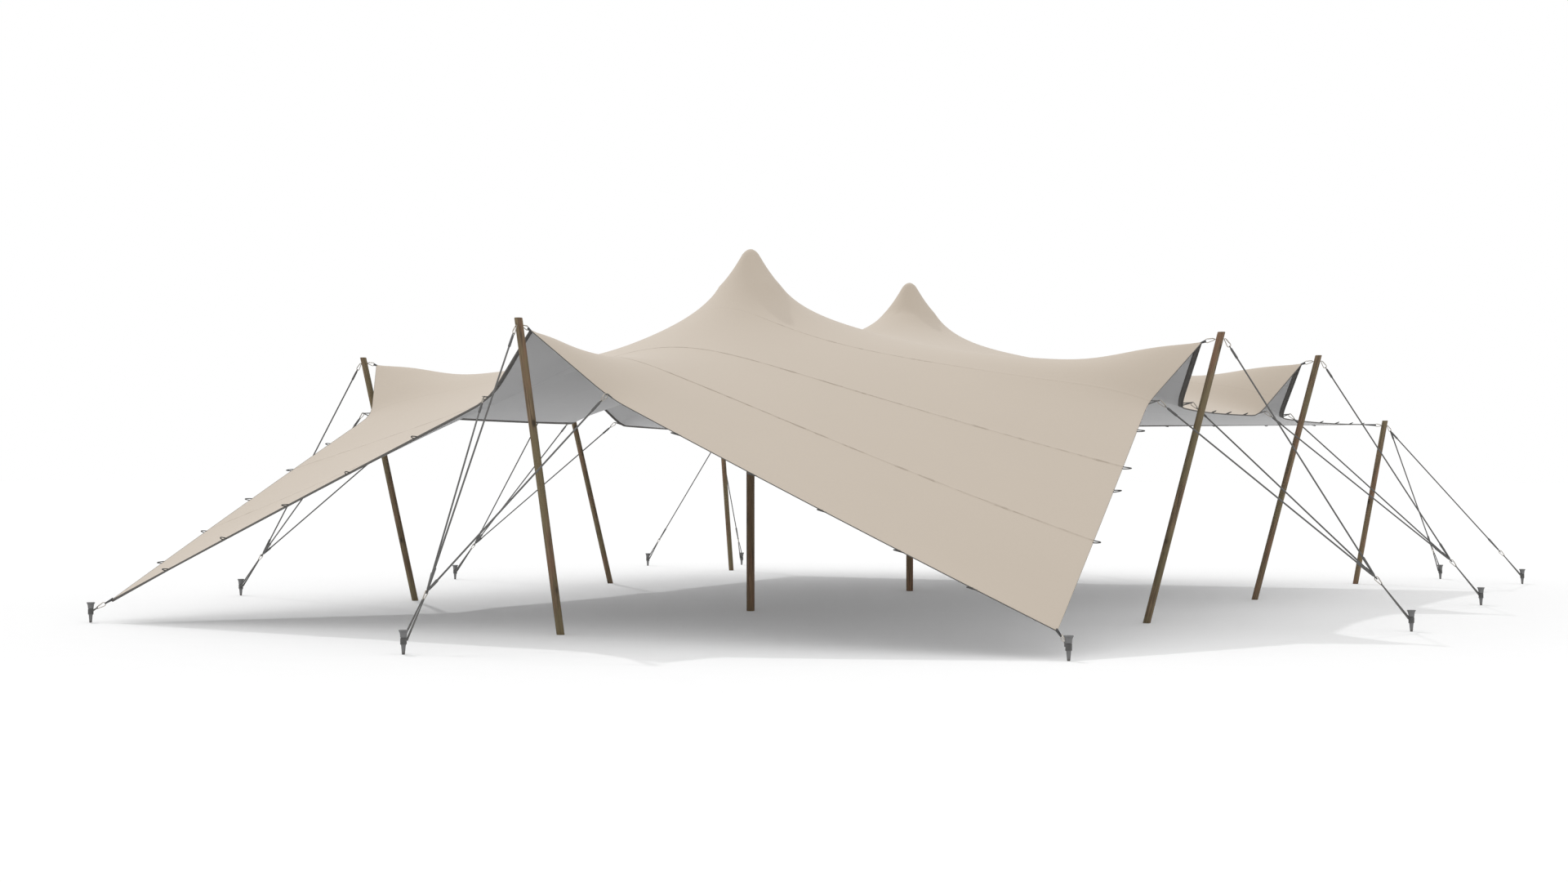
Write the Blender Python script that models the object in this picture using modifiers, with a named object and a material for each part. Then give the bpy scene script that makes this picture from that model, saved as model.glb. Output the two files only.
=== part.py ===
"""Stretch tent with king poles, leaning side poles, guys and stakes, in metres, ground at z = 0.

X runs across the ten metre width, Y along the fifteen metre length, and the edge
that is pulled down to the ground lies at -Y.
"""

import math

import bmesh
import bpy
import numpy as np
from mathutils import Matrix, Vector

# Membrane laid flat, half sizes
REST_HALF_WIDTH = 5.0
REST_HALF_LENGTH = 7.5
CANOPY_THICKNESS = 0.015

# Corners, tips and folds of the rigged membrane
LOW_CORNER = (5.017, -6.704, 0.226)
HIGH_CORNER = (4.952, 6.678, 2.193)
TIP_HEIGHT = 2.815
END_TIP_Y = 6.735
SIDE_TIP_X = 5.04
END_FOLD_HEIGHT = 2.196
END_FOLD_Y = 6.431
END_FOLD_REACH = 0.66
SIDE_FOLD_HEIGHT = 2.190
SIDE_FOLD_X = 4.659
SIDE_FOLD_REACH = 0.605
REST_FOLD = 0.80
REST_POLE = 2.50
REST_WIDTH_CHANGE = 2.0
REST_LENGTH_CHANGE = 4.5
POLE_ROW_Y = 2.275
FOLD_ROUNDING = 0.16

# How far the middle of each long edge stands out of the straight line, and how far it hangs below it
FRONT_BOW = (0.055, 0.005)
BACK_BOW = (0.0, -0.002)
SIDE_FRONT_BOW = (0.010, -0.009)
SIDE_MID_BOW = (-0.105, 0.012)
SIDE_BACK_BOW = (-0.054, 0.018)

# Peaks over the king poles
PEAK_HEIGHT = 3.977
PEAK_FLAT = 0.05
CROWN_RING = 0.125
CROWN_STEEP_FROM = 0.090
CROWN_REACH = 0.35
CROWN_CURVE = 0.141
CROWN_SLOPE = 1.786
CROWN_FLARE = 1.50

# How the relaxed membrane pulls and hangs, places and spreads across and along the flat cloth
SPINE_TENSION = 83.4
SPINE_SPREAD = 1.508
ROW_TENSION = 28.2
ROW_SPREAD = 3.697
HANGING_LOAD = -0.259
SIDE_LIFT = 20.5
SIDE_LIFT_X = 4.61
SIDE_LIFT_SPREAD = (0.463, 0.778)
SIDE_SINK = 16.26
SIDE_SINK_X = 4.011
SIDE_SINK_SPREAD = (0.432, 0.432)
END_LIFT = 94.3
END_LIFT_Y = 7.271
END_LIFT_SPREAD = (0.268, 0.202)
END_SINK = 8.24
END_SINK_Y = 5.043
END_SINK_SPREAD = (0.612, 0.612)
START_HEIGHT = 2.5
START_LENGTH_SHARE = 0.9
SOLVE_STEPS = 2500
SOLVE_SPLIT = 3
SOLVE_LIMIT = 1e-7

# Poles
KING_RADIUS = 0.045
SIDE_RADIUS = 0.0375
SIDE_TOP_HEIGHT = 2.91
END_POLE_FOOT_Y = 6.20
END_POLE_TOP_Y = 6.93
SIDE_POLE_FOOT_X = 4.464
SIDE_POLE_TOP_X = 5.236
CORNER_POLE_FOOT = (4.818, 6.60)
CORNER_POLE_TOP = (5.168, 6.923)
CORNER_TOP_HEIGHT = 2.246
POLE_SIDES = 14
HEAD_RADIUS = 0.060
HEAD_HEIGHT = 0.075
HEAD_FLAT = 0.032
HEAD_FOOT_RADIUS = 0.048
HEAD_DOME = 0.060
HEAD_STEPS = 5

# Stakes, radius and height from the top down
STAKE_PROFILE = (
    (0.0, 0.205),
    (0.039, 0.205),
    (0.038, 0.193),
    (0.026, 0.150),
    (0.025, 0.132),
    (0.022, 0.130),
    (0.022, 0.080),
    (0.018, 0.076),
    (0.012, 0.0),
    (0.0, 0.0),
)
STAKE_SIDES = 12
END_STAKE_Y = 8.655
SIDE_STAKE_X = 7.062
SIDE_STAKE_Y = 2.31
CORNER_STAKE_INNER = (5.64, 8.566)
CORNER_STAKE_OUTER = (6.88, 7.585)
LOW_STAKE = (5.158, -6.847)

# Rigging
SEAT_GAP = 0.0003
WEB_SEAT_GAP = 0.0008
ROPE_RADIUS = 0.007
SLEEVE_RADIUS = 0.0125
SLEEVE_LENGTH = 0.14
LOWER_SLEEVE_RADIUS = 0.014
LOWER_SLEEVE_LENGTH = 0.22
LINK_LENGTH = 0.100
LINK_WIDTH = 0.036
LINK_WIRE = 0.0045
LINK_END_FORM = 0.6
LINK_SIDE_FORM = 0.8
LINK_OVERLAP = 0.012
ROPE_OVERLAP = 0.02
STRAND_RADIUS = 0.0045
STRAND_OVERLAP = 0.010
STRAND_APART = 0.003
STRAP_WEB_LENGTH = 0.095
EYE_REACH = 0.010
EYE_WIRE = 0.004
FOLD_OFFSET = 0.007
FOLD_STRAP_REACH = 0.085
FOLD_STRAP_RISE = 0.012
STRAND_BACK = 0.0135
STRAND_SIDE = 0.0237
WRAP_INNER = 0.0223
WRAP_OUTER = 0.0275
WRAP_LOW = 0.084
WRAP_HIGH = 0.127
JUNCTION_INSET = 0.33
JUNCTION_HEIGHT = 0.505
CORNER_JUNCTION_PART = 0.17
TIE_BELOW_TOP = 0.07
WEB_RADIUS = 0.007
ROPE_ROUNDING = 1
LINK_ROUNDING = 0
LINK_STEPS = 8
SLEEVE_SIDES = 8
KNOT_RADIUS = 0.017
KNOT_SIDES = 10
KNOT_RINGS = 6

MERGE_DISTANCE = 1e-6
UP = Vector((0.0, 0.0, 1.0))

COLLECTION_NAME = "stretch_tent"

COLOURS = {
    "membrane": (0.585, 0.510, 0.425, 1.0),
    "wood": (0.150, 0.085, 0.040, 1.0),
    "head": (0.060, 0.060, 0.060, 1.0),
    "steel": (0.190, 0.190, 0.190, 1.0),
    "rope": (0.070, 0.075, 0.075, 1.0),
}
ROUGHNESS = {"membrane": 0.8, "wood": 0.75, "head": 0.6, "steel": 0.5, "rope": 0.85}
METALLIC = {"membrane": 0.0, "wood": 0.0, "head": 0.0, "steel": 0.8, "rope": 0.0}


def clear_scene():
    for item in list(bpy.data.objects):
        bpy.data.objects.remove(item, do_unlink=True)


def make_collection(name):
    group = bpy.data.collections.new(name)
    bpy.context.scene.collection.children.link(group)
    return group


def make_material(name, kind):
    material = bpy.data.materials.new(name)
    material.use_nodes = True
    shader = material.node_tree.nodes["Principled BSDF"]
    shader.inputs["Base Color"].default_value = COLOURS[kind]
    shader.inputs["Roughness"].default_value = ROUGHNESS[kind]
    shader.inputs["Metallic"].default_value = METALLIC[kind]
    material.diffuse_color = COLOURS[kind]
    return material


def finish_object(group, name, mesh, kind, smooth):
    mesh.name = name
    item = bpy.data.objects.new(name, mesh)
    group.objects.link(item)
    mesh.materials.clear()
    mesh.materials.append(make_material(name + "_material", kind))
    for face in mesh.polygons:
        face.use_smooth = smooth
    return item


# Membrane

def spaced(pieces):
    values = [pieces[0][0]]
    for low, high, count in pieces:
        for step in range(1, count + 1):
            values.append(low + (high - low) * step / count)
    return np.array(values)


def mirrored(values):
    return np.concatenate([-values[:0:-1], values])


def rest_lines(split):
    across = spaced([
        (0.0, PEAK_FLAT, split),
        (PEAK_FLAT, CROWN_RING, split),
        (CROWN_RING, CROWN_REACH, 2 * split),
        (CROWN_REACH, REST_FOLD, 2 * split),
        (REST_FOLD, REST_WIDTH_CHANGE, 2 * split),
        (REST_WIDTH_CHANGE, REST_HALF_WIDTH, 5 * split),
    ])
    along = spaced([
        (0.0, REST_POLE - REST_FOLD, 2 * split),
        (REST_POLE - REST_FOLD, REST_POLE - CROWN_REACH, 2 * split),
        (REST_POLE - CROWN_REACH, REST_POLE - CROWN_RING, 2 * split),
        (REST_POLE - CROWN_RING, REST_POLE - PEAK_FLAT, split),
        (REST_POLE - PEAK_FLAT, REST_POLE, split),
        (REST_POLE, REST_POLE + PEAK_FLAT, split),
        (REST_POLE + PEAK_FLAT, REST_POLE + CROWN_RING, split),
        (REST_POLE + CROWN_RING, REST_POLE + CROWN_REACH, 2 * split),
        (REST_POLE + CROWN_REACH, REST_POLE + REST_FOLD, 2 * split),
        (REST_POLE + REST_FOLD, REST_LENGTH_CHANGE, 2 * split),
        (REST_LENGTH_CHANGE, REST_HALF_LENGTH, 5 * split),
    ])
    return mirrored(across), mirrored(along)


def polyline_point(rest, anchors, value):
    for number in range(len(rest) - 1):
        if value <= rest[number + 1] + 1e-9:
            break
    part = (value - rest[number]) / (rest[number + 1] - rest[number])
    point = anchors[number] + (anchors[number + 1] - anchors[number]) * part
    return point


def rounded_point(rest, anchors, folds, value):
    point = polyline_point(rest, anchors, value)
    for fold in folds:
        away = abs(value - fold)
        if away < FOLD_ROUNDING:
            before = polyline_point(rest, anchors, fold - FOLD_ROUNDING)
            after = polyline_point(rest, anchors, fold + FOLD_ROUNDING)
            corner = polyline_point(rest, anchors, fold)
            part = (value - fold + FOLD_ROUNDING) / (2 * FOLD_ROUNDING)
            point = before * (1 - part) ** 2 + corner * 2 * part * (1 - part) + after * part ** 2
    return point


def end_edge(side):
    corner = LOW_CORNER if side < 0 else HIGH_CORNER
    right = Vector(corner)
    left = Vector((-corner[0], corner[1], corner[2]))
    fold_right = Vector((END_FOLD_REACH, side * END_FOLD_Y, END_FOLD_HEIGHT))
    fold_left = Vector((-END_FOLD_REACH, side * END_FOLD_Y, END_FOLD_HEIGHT))
    tip = Vector((0.0, side * END_TIP_Y, TIP_HEIGHT))
    rest = [-REST_HALF_WIDTH, -REST_FOLD, 0.0, REST_FOLD, REST_HALF_WIDTH]
    out, down = FRONT_BOW if side < 0 else BACK_BOW
    bow = Vector((0.0, side * out, -down))
    straight = Vector()
    bows = [bow, straight, straight, bow]
    return rest, [left, fold_left, tip, fold_right, right], [-REST_FOLD, REST_FOLD], bows


def side_edge(side):
    low = Vector((side * LOW_CORNER[0], LOW_CORNER[1], LOW_CORNER[2]))
    high = Vector((side * HIGH_CORNER[0], HIGH_CORNER[1], HIGH_CORNER[2]))
    rest = [-REST_HALF_LENGTH]
    anchors = [low]
    folds = []
    for row in (-1, 1):
        middle = row * POLE_ROW_Y
        rest_middle = row * REST_POLE
        for reach in (-1, 0, 1):
            rest.append(rest_middle + reach * REST_FOLD)
            if reach:
                point = Vector((side * SIDE_FOLD_X, middle + reach * SIDE_FOLD_REACH, SIDE_FOLD_HEIGHT))
                folds.append(rest[-1])
            else:
                point = Vector((side * SIDE_TIP_X, middle, TIP_HEIGHT))
            anchors.append(point)
    rest.append(REST_HALF_LENGTH)
    anchors.append(high)
    straight = Vector()
    bows = [straight] * (len(rest) - 1)
    for number, (out, down) in ((0, SIDE_FRONT_BOW), (3, SIDE_MID_BOW), (6, SIDE_BACK_BOW)):
        bows[number] = Vector((side * out, 0.0, -down))
    return rest, anchors, folds, bows


def edge_point(edge, value):
    """Point on the rounded and bowed edge, at that place of the flat cloth."""
    rest, anchors, folds, bows = edge
    point = rounded_point(rest, anchors, folds, value)
    for number, bow in enumerate(bows):
        if rest[number] <= value < rest[number + 1]:
            part = (value - rest[number]) / (rest[number + 1] - rest[number])
            point = point + bow * (4 * part * (1 - part))
    return point


def pin_edges(points, fixed, across, along):
    for side, row in ((-1, 0), (1, -1)):
        edge = end_edge(side)
        for column, value in enumerate(across):
            points[column, row] = edge_point(edge, value)
            fixed[column, row] = True
        edge = side_edge(side)
        for line, value in enumerate(along):
            points[row, line] = edge_point(edge, value)
            fixed[row, line] = True


def crown_drop(x, y):
    """How far the membrane lies below the peak, that far from the king pole's axis."""
    reach = math.hypot(x, y)
    if max(abs(x), abs(y)) <= PEAK_FLAT * 1.01:
        return 0.0
    if reach < CROWN_STEEP_FROM:
        return reach * reach / CROWN_CURVE
    beyond = reach - CROWN_STEEP_FROM
    return CROWN_STEEP_FROM ** 2 / CROWN_CURVE + CROWN_SLOPE * beyond - CROWN_FLARE * beyond ** 2


def pin_peaks(points, fixed, across, along):
    for row in (-1, 1):
        for column, x in enumerate(across):
            for line, rest_y in enumerate(along):
                y = rest_y - row * REST_POLE
                if math.hypot(x, y) > CROWN_REACH * 1.001:
                    continue
                points[column, line] = (x, row * POLE_ROW_Y + y, PEAK_HEIGHT - crown_drop(x, y))
                fixed[column, line] = True


def spring_strengths(across, along):
    widths = np.zeros(len(across))
    widths[:-1] += np.diff(across) / 2
    widths[1:] += np.diff(across) / 2
    lengths = np.zeros(len(along))
    lengths[:-1] += np.diff(along) / 2
    lengths[1:] += np.diff(along) / 2
    row_ridge = np.exp(-((along - REST_POLE) / ROW_SPREAD) ** 2)
    row_ridge += np.exp(-((along + REST_POLE) / ROW_SPREAD) ** 2)
    across_pull = lengths[None, :] / np.diff(across)[:, None] * (1 + ROW_TENSION * row_ridge)[None, :]
    spine = np.exp(-(across / SPINE_SPREAD) ** 2)
    along_pull = widths[:, None] / np.diff(along)[None, :] * (1 + SPINE_TENSION * spine)[:, None]
    return across_pull, along_pull, widths[:, None] * lengths[None, :]


def swell(across, along, x, y, spread, amount):
    """A load that is strongest at one place of the flat cloth and fades round it."""
    fade = ((across - x) / spread[0])[:, None] ** 2 + ((along - y) / spread[1])[None, :] ** 2
    return amount * np.exp(-fade)


def cloth_load(across, along):
    """Load on each square metre: the sewn tips stand up stiffly, and the cloth sinks behind them."""
    load = np.full((len(across), len(along)), HANGING_LOAD)
    for side in (-1, 1):
        for row in (-REST_POLE, REST_POLE):
            load += swell(across, along, side * SIDE_LIFT_X, row, SIDE_LIFT_SPREAD, SIDE_LIFT)
            load -= swell(across, along, side * SIDE_SINK_X, row, SIDE_SINK_SPREAD, SIDE_SINK)
        load += swell(across, along, 0.0, side * END_LIFT_Y, END_LIFT_SPREAD, END_LIFT)
        load -= swell(across, along, 0.0, side * END_SINK_Y, END_SINK_SPREAD, END_SINK)
    return load


def pull_of(points, across_pull, along_pull):
    total = np.zeros_like(points)
    step = (points[1:] - points[:-1]) * across_pull[..., None]
    total[:-1] += step
    total[1:] -= step
    step = (points[:, 1:] - points[:, :-1]) * along_pull[..., None]
    total[:, :-1] += step
    total[:, 1:] -= step
    return -total


def relax(points, fixed, across_pull, along_pull, weights):
    free = (~fixed)[..., None].astype(float)
    diagonal = np.zeros(fixed.shape)
    diagonal[:-1] += across_pull
    diagonal[1:] += across_pull
    diagonal[:, :-1] += along_pull
    diagonal[:, 1:] += along_pull
    scale = free / diagonal[..., None]
    load = np.zeros_like(points)
    load[..., 2] = weights
    rest = (load - pull_of(points, across_pull, along_pull)) * free
    guide = scale * rest
    heading = guide.copy()
    measure = (rest * guide).sum((0, 1))
    for _ in range(SOLVE_STEPS):
        answer = pull_of(heading, across_pull, along_pull) * free
        stride = measure / np.maximum((heading * answer).sum((0, 1)), 1e-30)
        points += stride * heading
        rest -= stride * answer
        if np.sqrt((rest * rest).sum()) < SOLVE_LIMIT:
            break
        guide = scale * rest
        following = (rest * guide).sum((0, 1))
        heading = guide + following / np.maximum(measure, 1e-30) * heading
        measure = following
    return points


def membrane_points():
    across, along = rest_lines(SOLVE_SPLIT)
    points = np.zeros((len(across), len(along), 3))
    points[..., 0] = across[:, None]
    points[..., 1] = along[None, :] * START_LENGTH_SHARE
    points[..., 2] = START_HEIGHT
    fixed = np.zeros(points.shape[:2], bool)
    pin_edges(points, fixed, across, along)
    pin_peaks(points, fixed, across, along)
    across_pull, along_pull, areas = spring_strengths(across, along)
    points = relax(points, fixed, across_pull, along_pull, cloth_load(across, along) * areas)
    return points[::SOLVE_SPLIT, ::SOLVE_SPLIT]


def build_canopy(group):
    points = membrane_points()
    columns, rows = points.shape[:2]
    bpy.ops.mesh.primitive_grid_add(x_subdivisions=columns - 1, y_subdivisions=rows - 1, size=1.0)
    item = bpy.context.object
    mesh = item.data
    for vertex in mesh.vertices:
        column = int(round((vertex.co.x + 0.5) * (columns - 1)))
        row = int(round((vertex.co.y + 0.5) * (rows - 1)))
        vertex.co = points[column, row]
    solidify = item.modifiers.new("thickness", "SOLIDIFY")
    solidify.thickness = CANOPY_THICKNESS
    solidify.offset = -1.0
    graph = bpy.context.evaluated_depsgraph_get()
    solid = bpy.data.meshes.new_from_object(item.evaluated_get(graph))
    bpy.data.objects.remove(item, do_unlink=True)
    finish_object(group, "canopy", solid, "membrane", True)


# Turned and leaning pieces

def turned_mesh(profile, sides):
    outline = bpy.data.meshes.new("outline")
    vertices = [(radius, 0.0, height) for radius, height in profile]
    edges = [(number, number + 1) for number in range(len(profile) - 1)]
    outline.from_pydata(vertices, edges, [])
    item = bpy.data.objects.new("turned", outline)
    bpy.context.scene.collection.objects.link(item)
    screw = item.modifiers.new("turn", "SCREW")
    screw.axis = "Z"
    screw.angle = math.tau
    screw.steps = sides
    screw.render_steps = sides
    screw.use_merge_vertices = True
    screw.merge_threshold = MERGE_DISTANCE
    graph = bpy.context.evaluated_depsgraph_get()
    mesh = bpy.data.meshes.new_from_object(item.evaluated_get(graph))
    bpy.data.objects.remove(item, do_unlink=True)
    shape = bmesh.new()
    shape.from_mesh(mesh)
    bmesh.ops.remove_doubles(shape, verts=shape.verts[:], dist=MERGE_DISTANCE)
    bmesh.ops.dissolve_degenerate(shape, edges=shape.edges[:], dist=MERGE_DISTANCE)
    bmesh.ops.recalc_face_normals(shape, faces=shape.faces[:])
    shape.to_mesh(mesh)
    shape.free()
    return mesh


def build_pole(group, name, foot, top, radius, kind):
    rise = top[2] - foot[2]
    shape = bmesh.new()
    bmesh.ops.create_cone(
        shape,
        cap_ends=True,
        segments=POLE_SIDES,
        radius1=radius,
        radius2=radius,
        depth=rise,
    )
    for vertex in shape.verts:
        part = vertex.co.z / rise + 0.5
        vertex.co.x += foot[0] + (top[0] - foot[0]) * part
        vertex.co.y += foot[1] + (top[1] - foot[1]) * part
        vertex.co.z = foot[2] + rise * part
    mesh = bpy.data.meshes.new(name)
    shape.to_mesh(mesh)
    shape.free()
    finish_object(group, name, mesh, kind, True)


def build_head(group, name, y):
    top = PEAK_HEIGHT - CANOPY_THICKNESS - SEAT_GAP
    foot = top - HEAD_HEIGHT
    profile = [(0.0, top), (HEAD_FLAT, top)]
    for step in range(1, HEAD_STEPS):
        angle = step / (HEAD_STEPS - 1) * math.pi / 2
        radius = HEAD_FLAT + (HEAD_RADIUS - HEAD_FLAT) * math.sin(angle)
        height = top - HEAD_DOME * (1 - math.cos(angle))
        profile.append((radius, height))
    profile.append((HEAD_FOOT_RADIUS, foot))
    profile.append((0.0, foot))
    mesh = turned_mesh(profile, POLE_SIDES)
    mesh.transform(Matrix.Translation((0.0, y, 0.0)))
    finish_object(group, name, mesh, "head", True)
    return foot


def build_stake(group, name, x, y):
    mesh = turned_mesh(STAKE_PROFILE, STAKE_SIDES)
    mesh.transform(Matrix.Translation((x, y, 0.0)))
    finish_object(group, name, mesh, "steel", True)


# Rigging pieces, each a closed tube made along a curve

def curve_mesh(points, radius, rounding, closed):
    curve = bpy.data.curves.new("run", "CURVE")
    curve.dimensions = "3D"
    curve.bevel_depth = radius
    curve.bevel_resolution = rounding
    curve.use_fill_caps = True
    line = curve.splines.new("POLY")
    line.points.add(len(points) - 1)
    for number, point in enumerate(points):
        line.points[number].co = (point[0], point[1], point[2], 1.0)
    line.use_cyclic_u = closed
    item = bpy.data.objects.new("run", curve)
    bpy.context.scene.collection.objects.link(item)
    graph = bpy.context.evaluated_depsgraph_get()
    mesh = bpy.data.meshes.new_from_object(item.evaluated_get(graph))
    bpy.data.objects.remove(item, do_unlink=True)
    return mesh


def link_points(start, end, side):
    heading = (end - start).normalized()
    sideways = (side - heading * side.dot(heading)).normalized()
    length = (end - start).length
    points = []
    for step in range(LINK_STEPS):
        angle = math.tau * step / LINK_STEPS
        forward = math.cos(angle)
        across = math.sin(angle)
        reach = math.copysign(length / 2 * abs(forward) ** LINK_END_FORM, forward)
        spread = math.copysign(LINK_WIDTH / 2 * abs(across) ** LINK_SIDE_FORM, across)
        points.append(start + heading * (length / 2 + reach) + sideways * spread)
    return points


def wrap_mesh(x, y):
    profile = [
        (WRAP_INNER, WRAP_LOW),
        (WRAP_OUTER, WRAP_LOW),
        (WRAP_OUTER, WRAP_HIGH),
        (WRAP_INNER, WRAP_HIGH),
        (WRAP_INNER, WRAP_LOW),
    ]
    mesh = turned_mesh(profile, STAKE_SIDES)
    mesh.transform(Matrix.Translation((x, y, 0.0)))
    return mesh


def joined(group, name, meshes, kind):
    base = finish_object(group, name + "_base", meshes[0], kind, True)
    parts = make_collection(name + "_parts")
    for mesh in meshes[1:]:
        part = bpy.data.objects.new(name + "_part", mesh)
        parts.objects.link(part)
    union = base.modifiers.new("join", "BOOLEAN")
    union.operation = "UNION"
    union.solver = "EXACT"
    union.operand_type = "COLLECTION"
    union.collection = parts
    graph = bpy.context.evaluated_depsgraph_get()
    result = bpy.data.meshes.new_from_object(base.evaluated_get(graph))
    for part in list(parts.objects) + [base]:
        bpy.data.objects.remove(part, do_unlink=True)
    bpy.data.collections.remove(parts)
    return finish_object(group, name, result, kind, True)


def tube(start, end, radius):
    return curve_mesh([start, end], radius, ROPE_ROUNDING, False)


def link_mesh(start, end, side):
    return curve_mesh(link_points(start, end, side), LINK_WIRE, LINK_ROUNDING, True)


def taper_mesh(start, end, first_radius, last_radius):
    shape = bmesh.new()
    length = (end - start).length
    bmesh.ops.create_cone(
        shape,
        cap_ends=True,
        segments=SLEEVE_SIDES,
        radius1=first_radius,
        radius2=last_radius,
        depth=length,
    )
    mesh = bpy.data.meshes.new("taper")
    shape.to_mesh(mesh)
    shape.free()
    turn = (end - start).to_track_quat("Z", "Y").to_matrix().to_4x4()
    mesh.transform(Matrix.Translation((start + end) / 2) @ turn)
    return mesh


def rope_meshes(start, end):
    """An upright link at the start, then a short sleeve, the rope and a longer sleeve at the end."""
    heading = (end - start).normalized()
    link_end = start + heading * LINK_LENGTH
    sleeve_start = link_end - heading * LINK_OVERLAP
    sleeve_end = sleeve_start + heading * SLEEVE_LENGTH
    lower_start = end - heading * LOWER_SLEEVE_LENGTH
    return [
        link_mesh(start, link_end, UP),
        tube(sleeve_start, sleeve_end, SLEEVE_RADIUS),
        tube(sleeve_end - heading * ROPE_OVERLAP, lower_start + heading * ROPE_OVERLAP, ROPE_RADIUS),
        taper_mesh(lower_start, end, LOWER_SLEEVE_RADIUS, ROPE_RADIUS),
    ]


def knot_mesh(centre):
    shape = bmesh.new()
    bmesh.ops.create_uvsphere(shape, u_segments=KNOT_SIDES, v_segments=KNOT_RINGS, radius=KNOT_RADIUS)
    mesh = bpy.data.meshes.new("knot")
    shape.to_mesh(mesh)
    shape.free()
    mesh.transform(Matrix.Translation(centre))
    return mesh


def sling_meshes(junction, stake_x, stake_y):
    """An upright link below the junction, two strands and the wrap round the stake."""
    centre = Vector((stake_x, stake_y, (WRAP_LOW + WRAP_HIGH) / 2))
    heading = (centre - junction).normalized()
    link_start = junction - heading * LINK_OVERLAP
    link_end = link_start + heading * LINK_LENGTH
    flat = Vector((heading.x, heading.y, 0.0)).normalized()
    sideways = Vector((-flat.y, flat.x, 0.0))
    meshes = [wrap_mesh(stake_x, stake_y)]
    meshes.append(knot_mesh(junction))
    meshes.append(link_mesh(link_start, link_end, UP))
    for hand in (-1, 1):
        start = link_end - heading * STRAND_OVERLAP + sideways * hand * STRAND_APART
        finish = centre - flat * STRAND_BACK + sideways * hand * STRAND_SIDE
        meshes.append(tube(start, finish, STRAND_RADIUS))
    return meshes


def pole_eye(foot, top, toward):
    """The seat of an eye near the pole's top, on the side that faces a point, and the eye's end."""
    lean = (Vector(top) - Vector(foot)) / (top[2] - foot[2])
    centre = Vector(foot) + lean * (top[2] - TIE_BELOW_TOP - foot[2])
    flat = Vector((toward[0] - centre.x, toward[1] - centre.y, 0.0)).normalized()
    half_facet = math.pi / POLE_SIDES
    turn = math.atan2(flat.x, flat.y) % (2 * half_facet) - half_facet
    surface = SIDE_RADIUS * math.cos(half_facet) / math.cos(turn)
    clearance = SEAT_GAP + EYE_WIRE * math.hypot(math.tan(turn), lean.dot(flat))
    return centre + flat * (surface + clearance), centre + flat * (SIDE_RADIUS + EYE_REACH)


def build_guy(group, name, foot, top, folds, stake):
    """Three ropes from the pole top and both folds to one sling round the stake."""
    outward = Vector((stake[0], stake[1], 0.0)).normalized()
    outward = Vector((round(outward.x), round(outward.y), 0.0)).normalized()
    junction = Vector((stake[0], stake[1], 0.0)) - outward * JUNCTION_INSET
    junction.z = JUNCTION_HEIGHT
    seat, eye = pole_eye(foot, top, stake)
    meshes = sling_meshes(junction, stake[0], stake[1])
    meshes.append(tube(seat, eye, EYE_WIRE))
    meshes += rope_meshes(eye, junction)
    for fold in folds:
        strap_end = fold + outward * FOLD_STRAP_REACH + UP * FOLD_STRAP_RISE
        away = (strap_end - fold).normalized()
        meshes.append(tube(fold + away * FOLD_OFFSET, strap_end, WEB_RADIUS))
        meshes += rope_meshes(strap_end - away * WEB_RADIUS, junction)
    joined(group, name, meshes, "rope")


def build_corner_guy(group, name, foot, top, stake):
    seat, eye = pole_eye(foot, top, stake)
    centre = Vector((stake[0], stake[1], (WRAP_LOW + WRAP_HIGH) / 2))
    junction = centre + (eye - centre) * CORNER_JUNCTION_PART
    meshes = sling_meshes(junction, stake[0], stake[1])
    meshes.append(tube(seat, eye, EYE_WIRE))
    meshes += rope_meshes(eye, junction)
    joined(group, name, meshes, "rope")


def build_tie(group, name, start, foot, top):
    """Short webbing at the start, an upright link and the eye in the pole, on its inner side."""
    seat, eye = pole_eye(foot, top, start)
    heading = (eye - start).normalized()
    link_start = eye - heading * LINK_LENGTH
    meshes = [
        tube(start + heading * WEB_SEAT_GAP, link_start + heading * LINK_OVERLAP, WEB_RADIUS),
        link_mesh(link_start, eye, UP),
        tube(seat, eye, EYE_WIRE),
    ]
    joined(group, name, meshes, "rope")


def build_strap(group, name, corner, stake):
    centre = Vector((stake[0], stake[1], (WRAP_LOW + WRAP_HIGH) / 2))
    heading = (centre - corner).normalized()
    flat = Vector((heading.x, heading.y, 0.0)).normalized()
    side = Vector((-flat.y, flat.x, 0.0))
    web_end = corner + heading * STRAP_WEB_LENGTH
    link_start = web_end - heading * LINK_OVERLAP
    link_end = link_start + heading * LINK_LENGTH
    meshes = [wrap_mesh(stake[0], stake[1])]
    meshes.append(tube(corner + heading * SEAT_GAP, web_end, WEB_RADIUS))
    meshes.append(link_mesh(link_start, link_end, UP))
    for hand in (-1, 1):
        start = link_end - heading * STRAND_OVERLAP + side * hand * STRAND_APART
        finish = centre - flat * STRAND_BACK + side * hand * STRAND_SIDE
        meshes.append(tube(start, finish, STRAND_RADIUS))
    joined(group, name, meshes, "rope")


def build_king_poles(group):
    for name, row in (("front", -1), ("back", 1)):
        y = row * POLE_ROW_Y
        foot = build_head(group, "king_pole_head_" + name, y)
        top = (0.0, y, foot - SEAT_GAP)
        build_pole(group, "king_pole_" + name, (0.0, y, 0.0), top, KING_RADIUS, "wood")


def build_mid_station(group, name, foot, top, tip, folds, stake):
    build_pole(group, "pole_" + name, foot, top, SIDE_RADIUS, "wood")
    build_stake(group, "stake_" + name, stake[0], stake[1])
    build_guy(group, "guy_" + name, foot, top, folds, stake)
    build_tie(group, "tie_" + name, Vector(tip), foot, top)


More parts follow.
